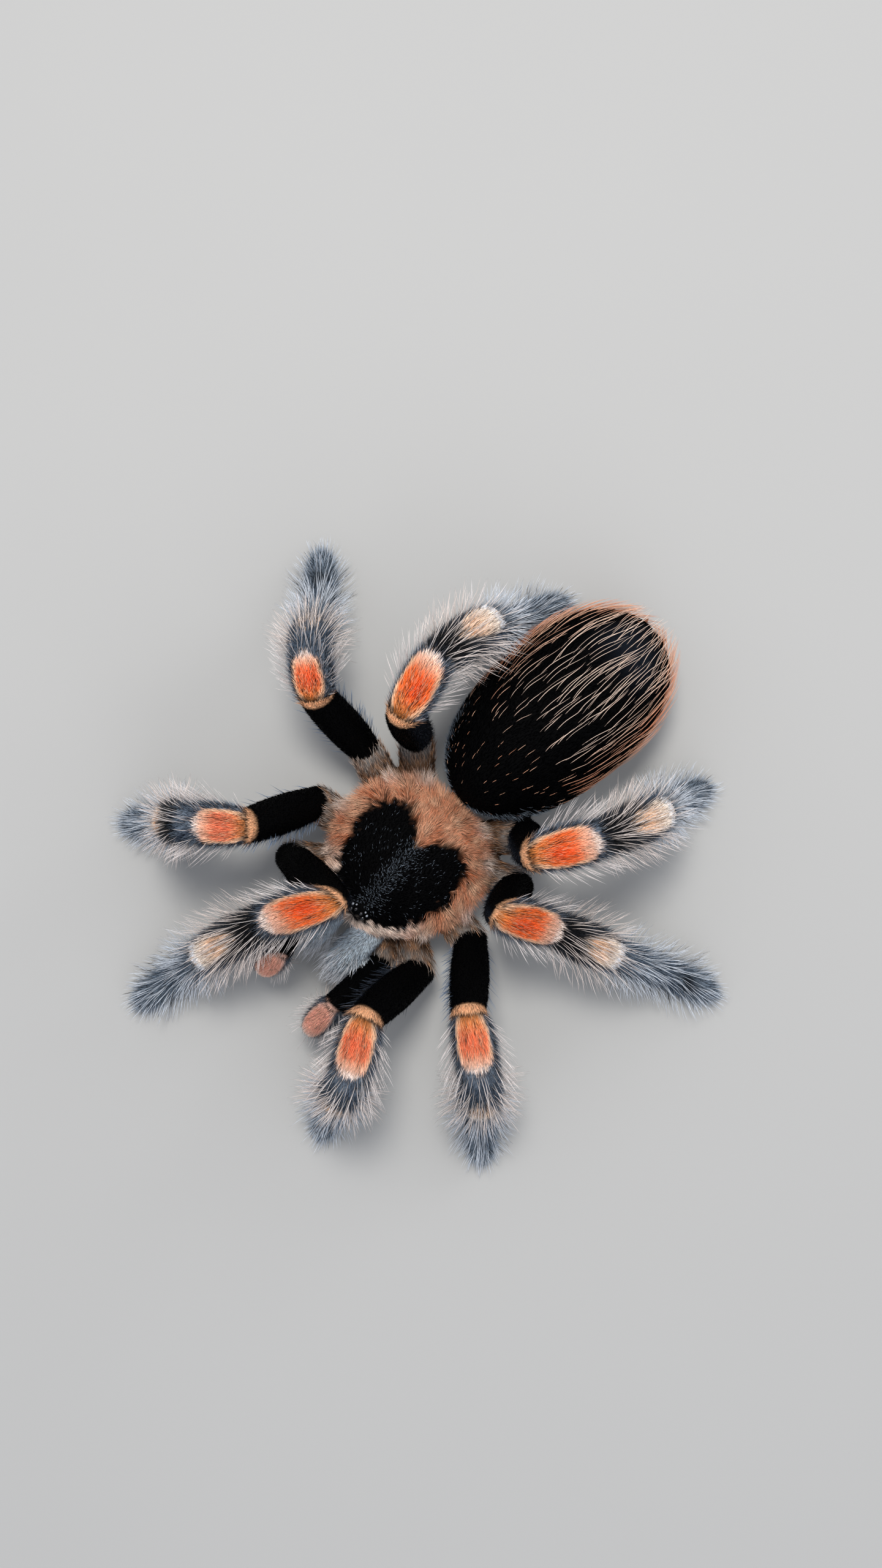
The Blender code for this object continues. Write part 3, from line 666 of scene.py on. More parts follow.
tints = {name: paint(*values) for name, values in {
    "black": (3, 3, 4),
    "smoke": (40, 47, 58),
    "ash": (72, 74, 82),
    "blueGrey": (98, 124, 154),
    "mist": (178, 194, 210),
    # the setae's near white: partly their own pale colour, partly a painted highlight of the sunlit hairs
    "seta": (236, 238, 242),
    "blossom": (238, 220, 208),
    "knee": (255, 124, 54),
    "kneeDeep": (250, 80, 30),
    "salmon": (248, 142, 104),
    "amber": (240, 160, 88),
    "blush": (255, 204, 184),
    "peach": (255, 208, 168),
    "tan": (252, 190, 142),
    "straw": (250, 208, 172),
    "cream": (255, 240, 224),
    "rim": (204, 120, 78),
    # the cream of the carapace hairs where the light catches them: partly their own pale colour, partly a
    # painted highlight
    "rimPaleAndHighlight": (250, 206, 170),
    "rimPink": (255, 240, 230),
    "ginger": (214, 118, 72),
    "jaw": (206, 218, 226),
    "brown": (84, 60, 48),
    "hipPale": (222, 214, 206),
    "underside": (36, 29, 27),
}.items()}


def perLimb(b, table, other=1.0):
    return np.array([table.get(limb, other) for limb in b.limb])


def plainTone(b, name):
    return np.tile(tints[name], (len(b.x), 1))


def darkSaddle(b):
    # how black the carapace's middle is: from the eyes back, in two lobes with a brown wedge between
    degrees = np.degrees(b.away)
    edge = 0.8 + 0.15 * bump(0, 66, degrees) + 0.05 * bump(42, 16, degrees) + 0.07 * bump(132, 22, degrees)
    wedge = 0.36 + 0.43 * np.clip((180 - degrees) / 34, 0, 2)
    edge = np.where(degrees > 138, np.minimum(edge, wedge), edge)
    edge = edge + 0.045 * ripple(b.points, 2.4 * mm, 1.3) + 0.05 * ripple(b.points, 0.9 * mm, 0.4)
    soft = 0.06 + 0.18 * ramp(100, 155, degrees)
    return 1 - ramp(edge - soft, edge + 0.04, b.along)


def kneePatch(b):
    # the oval of orange on each knee, and the paler border round it
    reach = perLimb(b, kneeReach)
    middle, half = (reach + 0.06) / 2, (reach - 0.06) / 2
    wide = np.where(b.limb == "leg_R3", 0.66, np.where(reach < 0.85, 0.78, 0.86))
    oval = ((b.along - middle) / (0.96 * half)) ** 2 + (b.around / wide) ** 2
    oval = oval + 0.06 * ripple(b.points, 2.2 * mm, 2.1)
    border = ((b.along - middle) / (half * 1.16)) ** 4 + (b.around / (wide + 0.15)) ** 2
    return 1 - ramp(0.84, 1.08, oval), 1 - ramp(0.88, 1.1, border), b.along / reach


def kneeLines(b):
    # two thin dark lines that part from the seam near the knee's root
    spread = 0.06 + 0.34 * np.sin(math.pi * np.clip(b.along, 0, 1))
    lines = sum(bump(sign * spread, 0.1, b.around) for sign in (-1, 1))
    return lines * ramp(0.12, 0.2, b.along) * (1 - ramp(0.45, 0.75, b.along))


def tibiaWedge(b):
    # the cream wedge that widens to the tibia's far end, split by a dark line at its start
    spread = 0.14 + 0.76 * np.clip((b.along - 0.26) / 0.5, 0, 1)
    ragged = 0.1 * ripple(b.points, 0.8 * mm, 3.3)
    wedge = ramp(0.22, 0.5, b.along + ragged) * (1 - ramp(spread * 0.6, spread * 1.2, b.away + ragged))
    wedge = wedge * (1 - 0.9 * bump(0, 0.13, b.around) * (1 - ramp(0.45, 0.66, b.along)))
    return wedge * perLimb(b, wedgeShow)


def tibiaRim(b):
    # the bright rim that closes the wedge
    rim = bump(0.92, 0.04, b.along + 0.03 * np.cos(1.6 * b.around)) * (1 - ramp(0.75, 1.05, b.away))
    return np.where(b.on("tibia"), rim, 0) * perLimb(b, wedgeShow)


def kneeHem(b):
    # the plain hem at the knee's root, outside the dark seam
    seam = b.along - 0.025 * np.cos(2.2 * b.around) + np.where(b.palp, 0.05, 0)
    hem = (1 - ramp(0.08, 0.1, seam)) * (1 - ramp(1.3, 1.8, b.away))
    return hem, bump(0.105, 0.026, seam) * (1 - ramp(1.0, 1.5, b.away))


def rimColours(b):
    # the ring of the carapace: ginger streaks and cream ones, the cream partly the hairs' own colour and
    # partly a painted highlight; pinkish white along the front and at the tufts' ends
    grain = 0.5 + 0.5 * ripple(b.points, 2.6 * mm, 0.7)
    streak = 0.5 + 0.5 * ripple(b.points, 1.1 * mm, 2.7)
    degrees = np.degrees(b.away)
    front = 1 - ramp(24, 74, degrees)
    colours = over(plainTone(b, "rim"), tints["rimPaleAndHighlight"], 0.12 + 0.6 * grain)
    colours = over(colours, tints["ginger"] * 0.75, 0.65 * streak * (1 - grain) * (1 - front))
    tuft = sum(bump(middle, 7, degrees) for middle in tuftPlaces) * ramp(0.86, 0.97, b.along)
    colours = over(colours, tints["hipPale"], np.clip(0.85 * tuft, 0, 1))
    pale = over(tints["rimPink"], tints["peach"], 0.2)
    return over(colours, pale, 0.95 * front * ramp(0.68, 0.88, b.along))


def footSpot(b):
    # the dark patch on top of the third feet
    spot = bump(0.45, 0.26, b.along) * (1 - ramp(0.4, 0.8, b.away))
    return spot * (b.on("tarsus") & np.isin(b.limb, ("leg_R3", "leg_L3")))


def footTones(b, speckle):
    tone = over(plainTone(b, "black"), tints["blueGrey"], 0.95)
    tone = over(tone, tints["mist"], 0.3 + 0.45 * speckle)
    heel = (1 - ramp(0.05, 0.25, b.along)) * (1 - ramp(0.5, 1.1, b.away))
    sole = ramp(1.7, 2.3, b.away)
    foot = over(tone, tints["mist"], 0.6 * ramp(0.2, 0.8, b.along))
    foot = over(foot, tints["black"] * 2, 0.9 * footSpot(b))
    return over(tone, tints["mist"], 0.4 * heel), over(foot, tints["smoke"], 0.8 * sole)


def tibiaTones(b, speckle):
    darkness = perLimb(b, baseShow)
    base = (1 - ramp(0.2, 0.62, b.along)) * (1 - ramp(0.7, 1.5, b.away)) * darkness
    blue = 1 - darkness * (1 - ramp(0.5, 1.0, b.along) * ramp(0.5, 1.2, b.away))
    shank = over(over(plainTone(b, "black"), tints["ash"], 0.95), tints["blueGrey"], blue)
    shank = over(shank, tints["mist"], (0.6 - 0.3 * darkness) * speckle)
    shank = over(shank, tints["black"] * 2, 0.9 * base)
    return over(shank, over(tints["straw"], tints["cream"], 0.5), tibiaWedge(b))


def kneeTones(b, speckle, hemTone):
    heat = perLimb(b, kneeHeat)
    oval, border, share = kneePatch(b)
    hot = over(plainTone(b, "salmon"), tints["knee"], heat)
    hot = over(hot, tints["amber"], 0.75 * (1 - ramp(0.2, 0.5, share)))
    middle = bump(0.52, 0.2, share) * bump(0.15, 0.42, b.around)
    hot = over(hot, tints["kneeDeep"], (0.1 + 0.65 * heat) * middle)
    hot = over(hot, over(tints["blush"], tints["salmon"], 0.4), np.where(b.palp, 1.0, 0.0))
    knee = over(plainTone(b, "ash"), tints["blueGrey"], 0.3)
    knee = over(knee, tints["mist"], 0.5 * speckle)
    knee = over(knee, np.where(b.palp[:, None], tints["blush"], tints["peach"]), 0.95 * border)
    knee = over(knee, tints["blush"], 0.7 * border * ramp(0.72, 0.9, share))
    knee = over(knee, tints["rimPink"], 0.9 * border * ramp(0.92, 0.99, share))
    knee = over(knee, hot, oval * (1 - ramp(0.68, 0.88, share)))
    knee = over(knee, tints["brown"] * 0.4, 0.22 * kneeLines(b))
    hem, seam = kneeHem(b)
    knee = over(knee, hemTone, 0.95 * hem)
    return over(knee, tints["brown"] * 0.15, 0.9 * seam)


def thighTones(b, hemTone):
    below = ramp(1.6, 2.3, b.away)
    cuff = ramp(0.98, 1.0, b.along) * (1 - ramp(1.3, 1.9, b.away))
    return over(over(plainTone(b, "black"), tints["smoke"], 0.7 * below), hemTone, 0.9 * cuff)


def hipTones(b, speckle):
    hips = over(plainTone(b, "brown") * 0.6, tints["tan"], 0.6 * speckle * ramp(0.4, 0.8, b.along))
    hips = over(hips, tints["hipPale"], (0.1 + 0.8 * (1 - speckle)) * ramp(0.75, 0.98, b.along))
    return over(hips, tints["underside"], 0.85 * ramp(1.5, 2.2, b.away))


def shieldTones(b):
    shield = over(rimColours(b), tints["black"], darkSaddle(b))
    shield[b.z < shieldUnder] = tints["underside"]
    return shield


def jawTones(b, speckle):
    # black on the faces that meet at the midline: painted shade in the gap between the two jaws
    inner = bump(0.0, 0.5, np.abs(b.x))
    low = ramp(1.9, 2.6, b.away)
    face = over(plainTone(b, "jaw"), tints["mist"], 0.6 * speckle)
    return over(over(face, tints["black"], 0.9 * inner), tints["brown"], 0.9 * low)


def abdomenTones(b):
    rearSpot = bump(0.84, 0.08, b.along) * (1 - ramp(0.3, 0.9, b.away))
    belly = ramp(2.0, 2.7, b.away)
    lungs = belly * (bump(0.16, 0.05, b.along) + bump(0.27, 0.04, b.along)) * bump(2.75, 0.2, b.away)
    tone = over(plainTone(b, "black"), tints["smoke"] * 1.3, 0.7 * rearSpot)
    return over(over(tone, tints["underside"], belly), tints["brown"] * 1.3, 0.8 * lungs)


shieldUnder = 9.5          # below this height, in millimetres, the carapace is plain


def markings(b):
    speckle = 0.5 + 0.5 * ripple(b.points, 1.7 * mm, 4.4)
    hemTone = np.where(b.palp[:, None], tints["blush"], tints["tan"])
    heelTone, footTone = footTones(b, speckle)
    shieldTone = shieldTones(b)
    tones = {"femur": thighTones(b, hemTone), "patella": kneeTones(b, speckle, hemTone),
             "tibia": tibiaTones(b, speckle), "metatarsus": heelTone, "tarsus": footTone,
             "coxa": hipTones(b, speckle), "carapace": shieldTone, "mound": shieldTone,
             "sternum": plainTone(b, "underside"), "pedicel": plainTone(b, "underside"),
             "jaw": jawTones(b, speckle), "abdomen": abdomenTones(b),
             "spinneret": over(plainTone(b, "brown"), tints["ginger"], 0.4)}
    coat = np.zeros((len(b.x), 3))
    for kind, tone in tones.items():
        mine = b.on(kind)
        coat[mine] = tone[mine]
    # beneath the hairs the skin is the same pattern in a darker tone
    share = np.where(b.on("patella"), 0.6, np.where(b.on("carapace", "mound"), 0.5, 0.3))
    share = share + 0.5 * np.where(b.on("tibia"), tibiaWedge(b), 0)
    return coat * share[:, None], coat


skinTint, coatTint = markings(body)


def unwrap(mesh, owners):
    # the skin's own shape laid flat: each part has a cell, with its length across and its girth up;
    # two maps for the skin's face corners: one over each group of parts, one over the whole skin
    starts = readArray(mesh.polygons, "loop_start", 1, np.int32)
    counts = readArray(mesh.polygons, "loop_total", 1, np.int32)
    faceOfLoop = np.repeat(np.arange(len(starts)), counts)
    cornerOf = readArray(mesh.loops, "vertex_index", 1, np.int32)
    firstCorner = cornerOf[starts][faceOfLoop]
    ownerOf = owners[firstCorner]
    points = body.points
    along, around = partPlaces(points[cornerOf], ownerOf)
    reference = partPlaces(points[firstCorner], ownerOf)[1]
    around = reference + wrapped(around - reference)
    cells = np.array([part["cell"] for part in parts])[ownerOf]
    flat = np.isin(np.array([part["kind"] for part in parts])[ownerOf], ("carapace", "mound"))
    u = np.clip(along, -0.15, 1.15) * 0.74 + 0.13
    v = around / (2 * math.pi) * 0.94 + 0.5
    reach = np.clip(along, 0, 1.1) * 0.45
    u = np.where(flat, 0.5 + reach * np.sin(around), u)
    v = np.where(flat, 0.5 - reach * np.cos(around), v)
    below = flat & (points[cornerOf][:, 2] < trunk(0, 0, 9.5)[2])
    u = np.where(below, 0.5 + (u - 0.5) * 1.06, u)
    group = np.c_[cells[:, 0] + u * cells[:, 2], cells[:, 1] + v * cells[:, 3]]
    corner = {"right": (0.0, 0.0), "left": (0.5, 0.0), "trunk": (0.0, 0.5), "abdomen": (0.5, 0.5)}
    offsets = np.array([corner[part["group"]] for part in parts])[ownerOf]
    return group, group * 0.49 + offsets


def writeMap(mesh, name, values):
    layer = mesh.attributes.new(name, "FLOAT2", "CORNER")
    layer.data.foreach_set("vector", values.astype(np.float32).ravel())


def writeField(mesh, name, values, kind="FLOAT", domain="POINT"):
    layer = mesh.attributes.get(name) or mesh.attributes.new(name, kind, domain)
    if kind == "FLOAT_COLOR":
        values = np.c_[values, np.ones(len(values))]
    field = {"FLOAT": "value", "FLOAT_VECTOR": "vector", "FLOAT_COLOR": "color"}[kind]
    layer.data.foreach_set(field, np.ascontiguousarray(values, np.float32).ravel())


groupMap, wholeMap = unwrap(skinMesh, skinOwner)


def hairLie(b):
    # which way the hairs lie: down each limb, and over the carapace as follows
    lie = b.axis.copy()
    flat = np.zeros(len(b.x))
    shield = b.on("carapace", "mound")
    degrees = np.degrees(b.away)
    # outwards on the rim and swept forwards at the sides, curling more towards the rear
    outward = unit(np.c_[b.x, b.y, flat])
    backward = np.c_[-outward[:, 1], outward[:, 0], flat] * np.tanh(b.x)[:, None]
    sweep = np.c_[flat, -0.8 * outward[:, 0] ** 2, flat]
    turn = 0.42 * ripple(b.points, 5 * mm, 3.1)
    turn = turn + 0.75 * ramp(95, 150, degrees) * ripple(b.points, 2.6 * mm, 1.9)
    swirl = np.c_[-outward[:, 1], outward[:, 0], flat] * turn[:, None]
    # round to the sides along the front edge, and together into each tuft
    edge = ramp(0.66, 0.8, b.along)
    pull = sum(bump(middle, 14, degrees) * np.clip((middle - degrees) / 7, -1, 1) for middle in tuftPlaces)
    pull = edge * (2.0 * (1 - ramp(28, 58, degrees)) + 1.1 * pull)
    lie[shield] = unit(outward + sweep + swirl + backward * pull[:, None])[shield]
    # the short hairs of the black middle part along the midline, and run back and out
    inner = shield & (b.along < 0.72)
    parting = np.tanh(b.x / 0.35) * bump(0, 2.2, b.x)
    lie[inner] = unit(np.c_[b.x * 0.4 + 7 * parting, np.abs(b.y + 9) + 1.0, flat] + swirl)[inner]
    hips = b.on("coxa")
    lie[hips] = unit(b.axis + 0.35 * up)[hips]
    sway = 0.16 * ripple(b.points, 9 * mm, 5.2)[:, None] * np.cross(b.normals, b.axis)
    return unit(lie + np.where(shield[:, None], 0, sway))


lieField = hairLie(body)


# the tree that turns points on the skin into tapered hairs
combInputs = (
    ("Skin", "NodeSocketGeometry", None),
    ("Hairs per square mm", "NodeSocketFloat", 8.0),
    ("Spacing", "NodeSocketFloat", 0.1 * mm),
    ("Seed", "NodeSocketInt", 1),
    ("Thickness", "NodeSocketFloat", 0.12 * mm),
    ("Flatness", "NodeSocketFloat", 0.7),
    ("Segments", "NodeSocketInt", 2),
    ("Taper", "NodeSocketFloat", 2.0),
    ("Shortest", "NodeSocketFloat", 0.65),
    ("Lift spread", "NodeSocketFloat", 0.15),
    ("Side spread", "NodeSocketFloat", 0.2),
    ("Bend along", "NodeSocketFloat", 0.15),
    ("Bend in", "NodeSocketFloat", 0.0),
    ("Curl", "NodeSocketFloat", 0.05),
    ("Wave", "NodeSocketFloat", 0.0),
    ("Floor", "NodeSocketFloat", 0.08 * mm),
    ("Patch", "NodeSocketFloat", 0.003),
    ("Finish", "NodeSocketMaterial", None),
)


perSquareMetre = 1e6          # square millimetres in a square metre
waveTurn = 5.2                # radians of a wavy hair's wave, from root to tip


class Comb(Bench):
    # a bench that knows the coat tree's inputs
    def __init__(self, tree):
        super().__init__(tree)
        self.given = tree.nodes.new("NodeGroupInput")
        self.seed = self.entry("Seed")

    def entry(self, name):
        return Wire(self, self.given.outputs[name])

    def chance(self, low, high, seedStep):
        return self.randomValue(low, high, self.seed + seedStep)

    def either(self, name, seedStep):
        # a random turn to one side or the other
        return self.entry(name) * self.chance(-1.0, 1.0, seedStep)


def scatterRoots(comb):
    density = comb.attribute("combDensity", "FLOAT")
    chosen = comb.node("FunctionNodeCompare", {"data_type": "FLOAT", "operation": "GREATER_THAN"},
                       {"A": density, "B": 0.001})
    return comb.node("GeometryNodeDistributePointsOnFaces", {"distribute_method": "POISSON"},
                     {"Mesh": comb.entry("Skin"), "Selection": chosen, "Distance Min": comb.entry("Spacing"),
                      "Density Max": comb.entry("Hairs per square mm") * perSquareMetre,
                      "Density Factor": density, "Seed": comb.seed})


def aimHairs(comb, roots):
    # each hair's heading and size, with its bend and wave kept on its root
    outward = comb.vector("NORMALIZE", comb.attribute("combOut"))
    lie = comb.attribute("combLie")
    tangent = comb.vector("NORMALIZE", lie - outward * comb.vector("DOT_PRODUCT", lie, outward))
    side = comb.vector("CROSS_PRODUCT", outward, tangent)
    lift = comb.attribute("combLift", "FLOAT") + comb.either("Lift spread", 1)
    sway = comb.either("Side spread", 2)
    raised = tangent * comb.maths("COSINE", lift) + outward * comb.maths("SINE", lift)
    heading = comb.vector("NORMALIZE", raised + side * sway)
    aimed = comb.node("FunctionNodeAlignRotationToVector", {"axis": "Z"}, {"Vector": heading})
    roll = comb.node("FunctionNodeAxisAngleToRotation", None,
                     {"Axis": (0.0, 0.0, 1.0), "Angle": comb.chance(0.0, 6.283, 3)})
    turned = comb.node("FunctionNodeRotateRotation", {"rotation_space": "LOCAL"},
                       {"Rotation": aimed, "Rotate By": roll})
    length = comb.attribute("combLength", "FLOAT") * comb.chance(comb.entry("Shortest"), 1.0, 4)
    width = comb.entry("Thickness") * comb.chance(0.75, 1.15, 5)
    scale = comb.combine(width, width * comb.entry("Flatness"), length)
    bend = tangent * comb.entry("Bend along") - outward * comb.entry("Bend in")
    bend = bend + side * comb.either("Curl", 6)
    wave = side * (comb.entry("Wave") * comb.chance(0.3, 1.0, 7) * length)
    marked = comb.store(roots, "hairBend", bend * length)
    marked = comb.store(marked, "hairWave", wave)
    marked = comb.store(marked, "strand", comb.chance(0.0, 1.0, 8), "FLOAT")
    return marked, turned, scale


def shapeBlade(comb):
    # a plain cone thins evenly, so it is kept full and thinned near the tip
    cone = comb.node("GeometryNodeMeshCone", {"fill_type": "NGON"},
                     {"Vertices": 3, "Side Segments": comb.entry("Segments"), "Fill Segments": 1,
                      "Radius Top": 0.0, "Radius Bottom": 0.5, "Depth": 1.0})
    place = comb.node("GeometryNodeInputPosition")
    height = comb.split(place, "Z")
    fuller = (1.0 - height ** comb.entry("Taper")) / comb.maths("MAXIMUM", 1.0 - height, 0.001)
    shaped = comb.move(cone, Position=place * comb.combine(fuller, fuller, 1.0))
    blade = comb.store(shaped, "along", height, "FLOAT")
    return comb.store(blade, "bladeMap", comb.combine(comb.split(place, "X"), height - 0.5, 0.0))


def bendHairs(comb, solid):
    # every hair bent, with nothing dipping into the floor
    along = comb.attribute("along", "FLOAT")
    turn = comb.maths("SINE", along * waveTurn)
    offset = comb.attribute("hairBend") * (along * along) + comb.attribute("hairWave") * turn
    solid = comb.move(solid, Offset=offset)
    place = comb.node("GeometryNodeInputPosition")
    kept = comb.maths("MAXIMUM", comb.split(place, "Z"), comb.entry("Floor"))
    return comb.move(solid, Position=comb.combine(comb.split(place, "X"), comb.split(place, "Y"), kept))


def buildCombTree():
    tree = bpy.data.node_groups.new("combedCoat", "GeometryNodeTree")
    tree.is_modifier = True
    for name, kind, value in combInputs:
        socket = tree.interface.new_socket(name=name, in_out="INPUT", socket_type=kind)
        if value is not None:
            socket.default_value = value
    tree.interface.new_socket(name="Coat", in_out="OUTPUT", socket_type="NodeSocketGeometry")
    comb = Comb(tree)
    marked, turned, scale = aimHairs(comb, scatterRoots(comb))
    hairs = comb.node("GeometryNodeInstanceOnPoints", None,
                      {"Points": marked, "Instance": shapeBlade(comb), "Rotation": turned, "Scale": scale})
    solid = bendHairs(comb, comb.node("GeometryNodeRealizeInstances", None, {"Geometry": hairs}))
    bake = comb.attribute("groupMap") + comb.attribute("bladeMap") * comb.entry("Patch")
    solid = comb.store(solid, "OFBake", bake, "FLOAT2", "CORNER")
    solid = comb.node("GeometryNodeSetShadeSmooth", None, {"Geometry": solid, "Shade Smooth": True})
    solid = comb.node("GeometryNodeSetMaterial", None, {"Geometry": solid, "Material": comb.entry("Finish")})
    result = tree.nodes.new("NodeGroupOutput")
    tree.links.new(solid.socket, result.inputs[0])
    return tree


combTree = buildCombTree()
socketOf = {item.name: item.identifier for item in combTree.interface.items_tree if item.in_out == "INPUT"}
usedUp = ("combDensity", "combLength", "combLift", "combOut", "combLie", "hairBend", "hairWave", "bladeMap",
          "groupMap")


def growCoat(name, look, tint, density, length, lift, finish, slot):
    # density and length are fields over the skin; look holds what the tree's inputs take
    live = density > 0
    if not live.any():
        return None
    mesh = skinMesh.copy()
    writeMap(mesh, "groupMap", groupMap)
    writeField(mesh, "combDensity", np.clip(density / look["Hairs per square mm"], 0, 1))
    writeField(mesh, "combLength", length * mm)
    writeField(mesh, "combLift", lift)
    writeField(mesh, "combOut", body.normals, "FLOAT_VECTOR")
    writeField(mesh, "combLie", lieField, "FLOAT_VECTOR")
    writeField(mesh, "tint", tint, "FLOAT_COLOR")
    bed = showObject(name + "_bed", mesh)
    comb = bed.modifiers.new("comb", "NODES")
    comb.node_group = combTree
    for key, value in look.items():
        comb[socketOf[key]] = value
    comb[socketOf["Finish"]] = finish
    coat = showObject(name, asPlainMesh(bed, name))
    bpy.data.objects.remove(bed)
    bpy.data.meshes.remove(mesh)
    for used in usedUp:
        if coat.data.attributes.get(used):
            coat.data.attributes.remove(coat.data.attributes[used])
    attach(coat, "root")
    coat.data.calc_loop_triangles()
    print("tarantula:", name, len(coat.data.loop_triangles), "triangles")
    return coat


def newFinish(name):
    material = bpy.data.materials.new(name)
    material.use_nodes = True
    material.node_tree.nodes.clear()
    return material, Bench(material.node_tree)


def finishShader(bench, sockets):
    shader = bench.node("ShaderNodeBsdfPrincipled", None, sockets)
    bench.node("ShaderNodeOutputMaterial", None, {"Surface": shader})


def hairFinish(name, rootShade, tipGain, roughness, specular, spread=0.35, darkShare=0.0, paleTint=None):
    # hair: darker at the root, partly the hairs' own darker bases and partly painted shade deep in the coat;
    # paler to the tip, and brighter than its tint where the tip gain is above one, a painted highlight; each
    # strand a little different, and a few of them dark
    material, bench = newFinish(name)
    tint = bench.painted("tint", "Color")
    along, strand = bench.painted("along"), bench.painted("strand")
    light = rootShade + (tipGain - rootShade) * along ** 0.8
    light = light * (1.0 - spread / 2 + spread * strand) * (0.8 + 0.4 * bench.noise(420.0, 2.0))
    if paleTint is not None:
        # every fourth strand turns pale towards its tip
        isPale = bench.maths("LESS_THAN", strand, 0.26)
        tint = bench.blend(isPale * along * 0.85, tint, paleTint)
    if darkShare > 0:
        isDark = bench.maths("GREATER_THAN", strand, 1.0 - darkShare)
        light = light * (1.0 - 0.8 * isDark)
    finishShader(bench, {"Base Color": tint * light, "Roughness": roughness, "Specular IOR Level": specular})
    return material


def skinFinish():
    material, bench = newFinish("tarantulaSkin")
    fine = bench.noise(4200.0, 4.0, 0.65)
    broad = bench.noise(700.0, 2.0)
    pits = bench.node("ShaderNodeTexVoronoi", {"feature": "F1"}, {"Vector": bench.place(), "Scale": 5200.0})
    relief = bench.node("ShaderNodeBump", None,
                        {"Strength": 0.55, "Distance": 0.0001, "Height": fine + pits * 0.5})
    shade = (0.6 + 0.55 * fine) * (0.75 + 0.5 * broad)
    finishShader(bench, {"Base Color": bench.painted("skinTint", "Color") * shade,
                         "Roughness": 0.62 + 0.25 * fine, "Specular IOR Level": 0.05, "Normal": relief})
    return material


def makeFinishes():
    return {
        "velvet": hairFinish("blackVelvet", 0.6, 1.1, 0.9, 0.0),
        "underfur": hairFinish("blueGreyUnderfur", 0.15, 1.25, 0.55, 0.25, 0.9, 0.2),
        "seta": hairFinish("paleSetae", 0.3, 1.2, 0.4, 0.4, 0.4),
        "wedge": hairFinish("creamWedgeFur", 0.85, 1.6, 0.5, 0.25, 0.6, 0.05),
        "dust": hairFinish("saddleHair", 0.25, 0.6, 0.5, 0.3, 0.7),
        "knee": hairFinish("kneeFur", 0.75, 1.35, 0.5, 0.25, 0.5, 0.02, tints["peach"]),
        "line": hairFinish("kneeLineHair", 0.8, 1.0, 0.5, 0.2),
        # the carapace fur's pale strands take that cream, which is partly a painted highlight
        "rim": hairFinish("carapaceFur", 0.4, 1.5, 0.45, 0.3, 0.85, 0.07, tints["rimPaleAndHighlight"]),
        "hip": hairFinish("hipFur", 0.35, 1.45, 0.5, 0.25, 0.8, 0.15, tints["hipPale"]),
        "jaw": hairFinish("jawFur", 0.6, 1.4, 0.5, 0.25, 0.5, 0.04, tints["seta"]),
        "bristle": hairFinish("abdomenBristles", 0.6, 1.15, 0.38, 0.4, 0.3),
        "skin": skinFinish(),
    }


finishes = makeFinishes()

# the skin takes the place of all that is soft
fleshNodes = [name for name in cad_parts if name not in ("eyes", "fang_R", "fang_L")]
skin = showObject("skin", skinMesh.copy())
skin.data.materials.clear()
skin.data.materials.append(finishes["skin"])
writeMap(skin.data, "OFBake", wholeMap)
writeField(skin.data, "skinTint", skinTint, "FLOAT_COLOR")
skin.data.shade_smooth()
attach(skin, "root")
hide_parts(*fleshNodes)


def palpShare(b, share):
    # hairs on the palps are shorter
    return np.where(b.palp, share, 1.0)


underfurLook = {"Hairs per square mm": 19.0, "Spacing": 0.04 * mm, "Thickness": 0.085 * mm, "Segments": 1,
                "Taper": 1.0, "Shortest": 0.5, "Lift spread": 0.3, "Side spread": 0.35, "Bend along": 0.0,
                "Curl": 0.0}


def underfurFields(b):
    density = np.zeros(len(b.x))
    length = np.ones(len(b.x))
    lift = np.full(len(b.x), 0.55)
    border = kneePatch(b)[1]
    for kind, low, high in (("tibia", 1.5, 1.6), ("metatarsus", 1.6, 1.9), ("tarsus", 2.0, 1.7)):
        mine = b.on(kind)
        density[mine] = 17.5
        length[mine] = (low + (high - low) * b.along)[mine]
    density *= 1 - 0.9 * np.where(b.on("tibia"), tibiaWedge(b), 0)
    patella = b.on("patella")
    density[patella] = (16.0 * (1 - border))[patella]
    length[patella] = 1.7
    femur = b.on("femur") & ~b.palp
    density[femur] = (6.0 * ramp(1.6, 2.1, b.away))[femur]
    length[femur] = 1.4
    foot = b.on("tarsus")
    lift[foot] = (0.55 + 0.45 * ramp(0.6, 1.0, b.along))[foot]
    sole = b.on("tarsus", "metatarsus") & (b.away > 1.9)
    length[sole] *= 0.6
    density[sole] *= 0.6
    lift[sole] = 0.9
    return density, length * palpShare(b, 0.7), lift


setaLook = {"Hairs per square mm": 4.0, "Spacing": 0.26 * mm, "Thickness": 0.104 * mm, "Segments": 4,
            "Taper": 2.6, "Shortest": 0.6, "Lift spread": 0.22, "Side spread": 0.2, "Bend along": 0.18,
            "Curl": 0.05, "Wave": 0.015}
femurFringe = {"leg_R2": 1.0, "leg_R3": 1.0, "leg_L2": 1.0, "leg_L1": 0.6}     # the thighs with a grey fringe


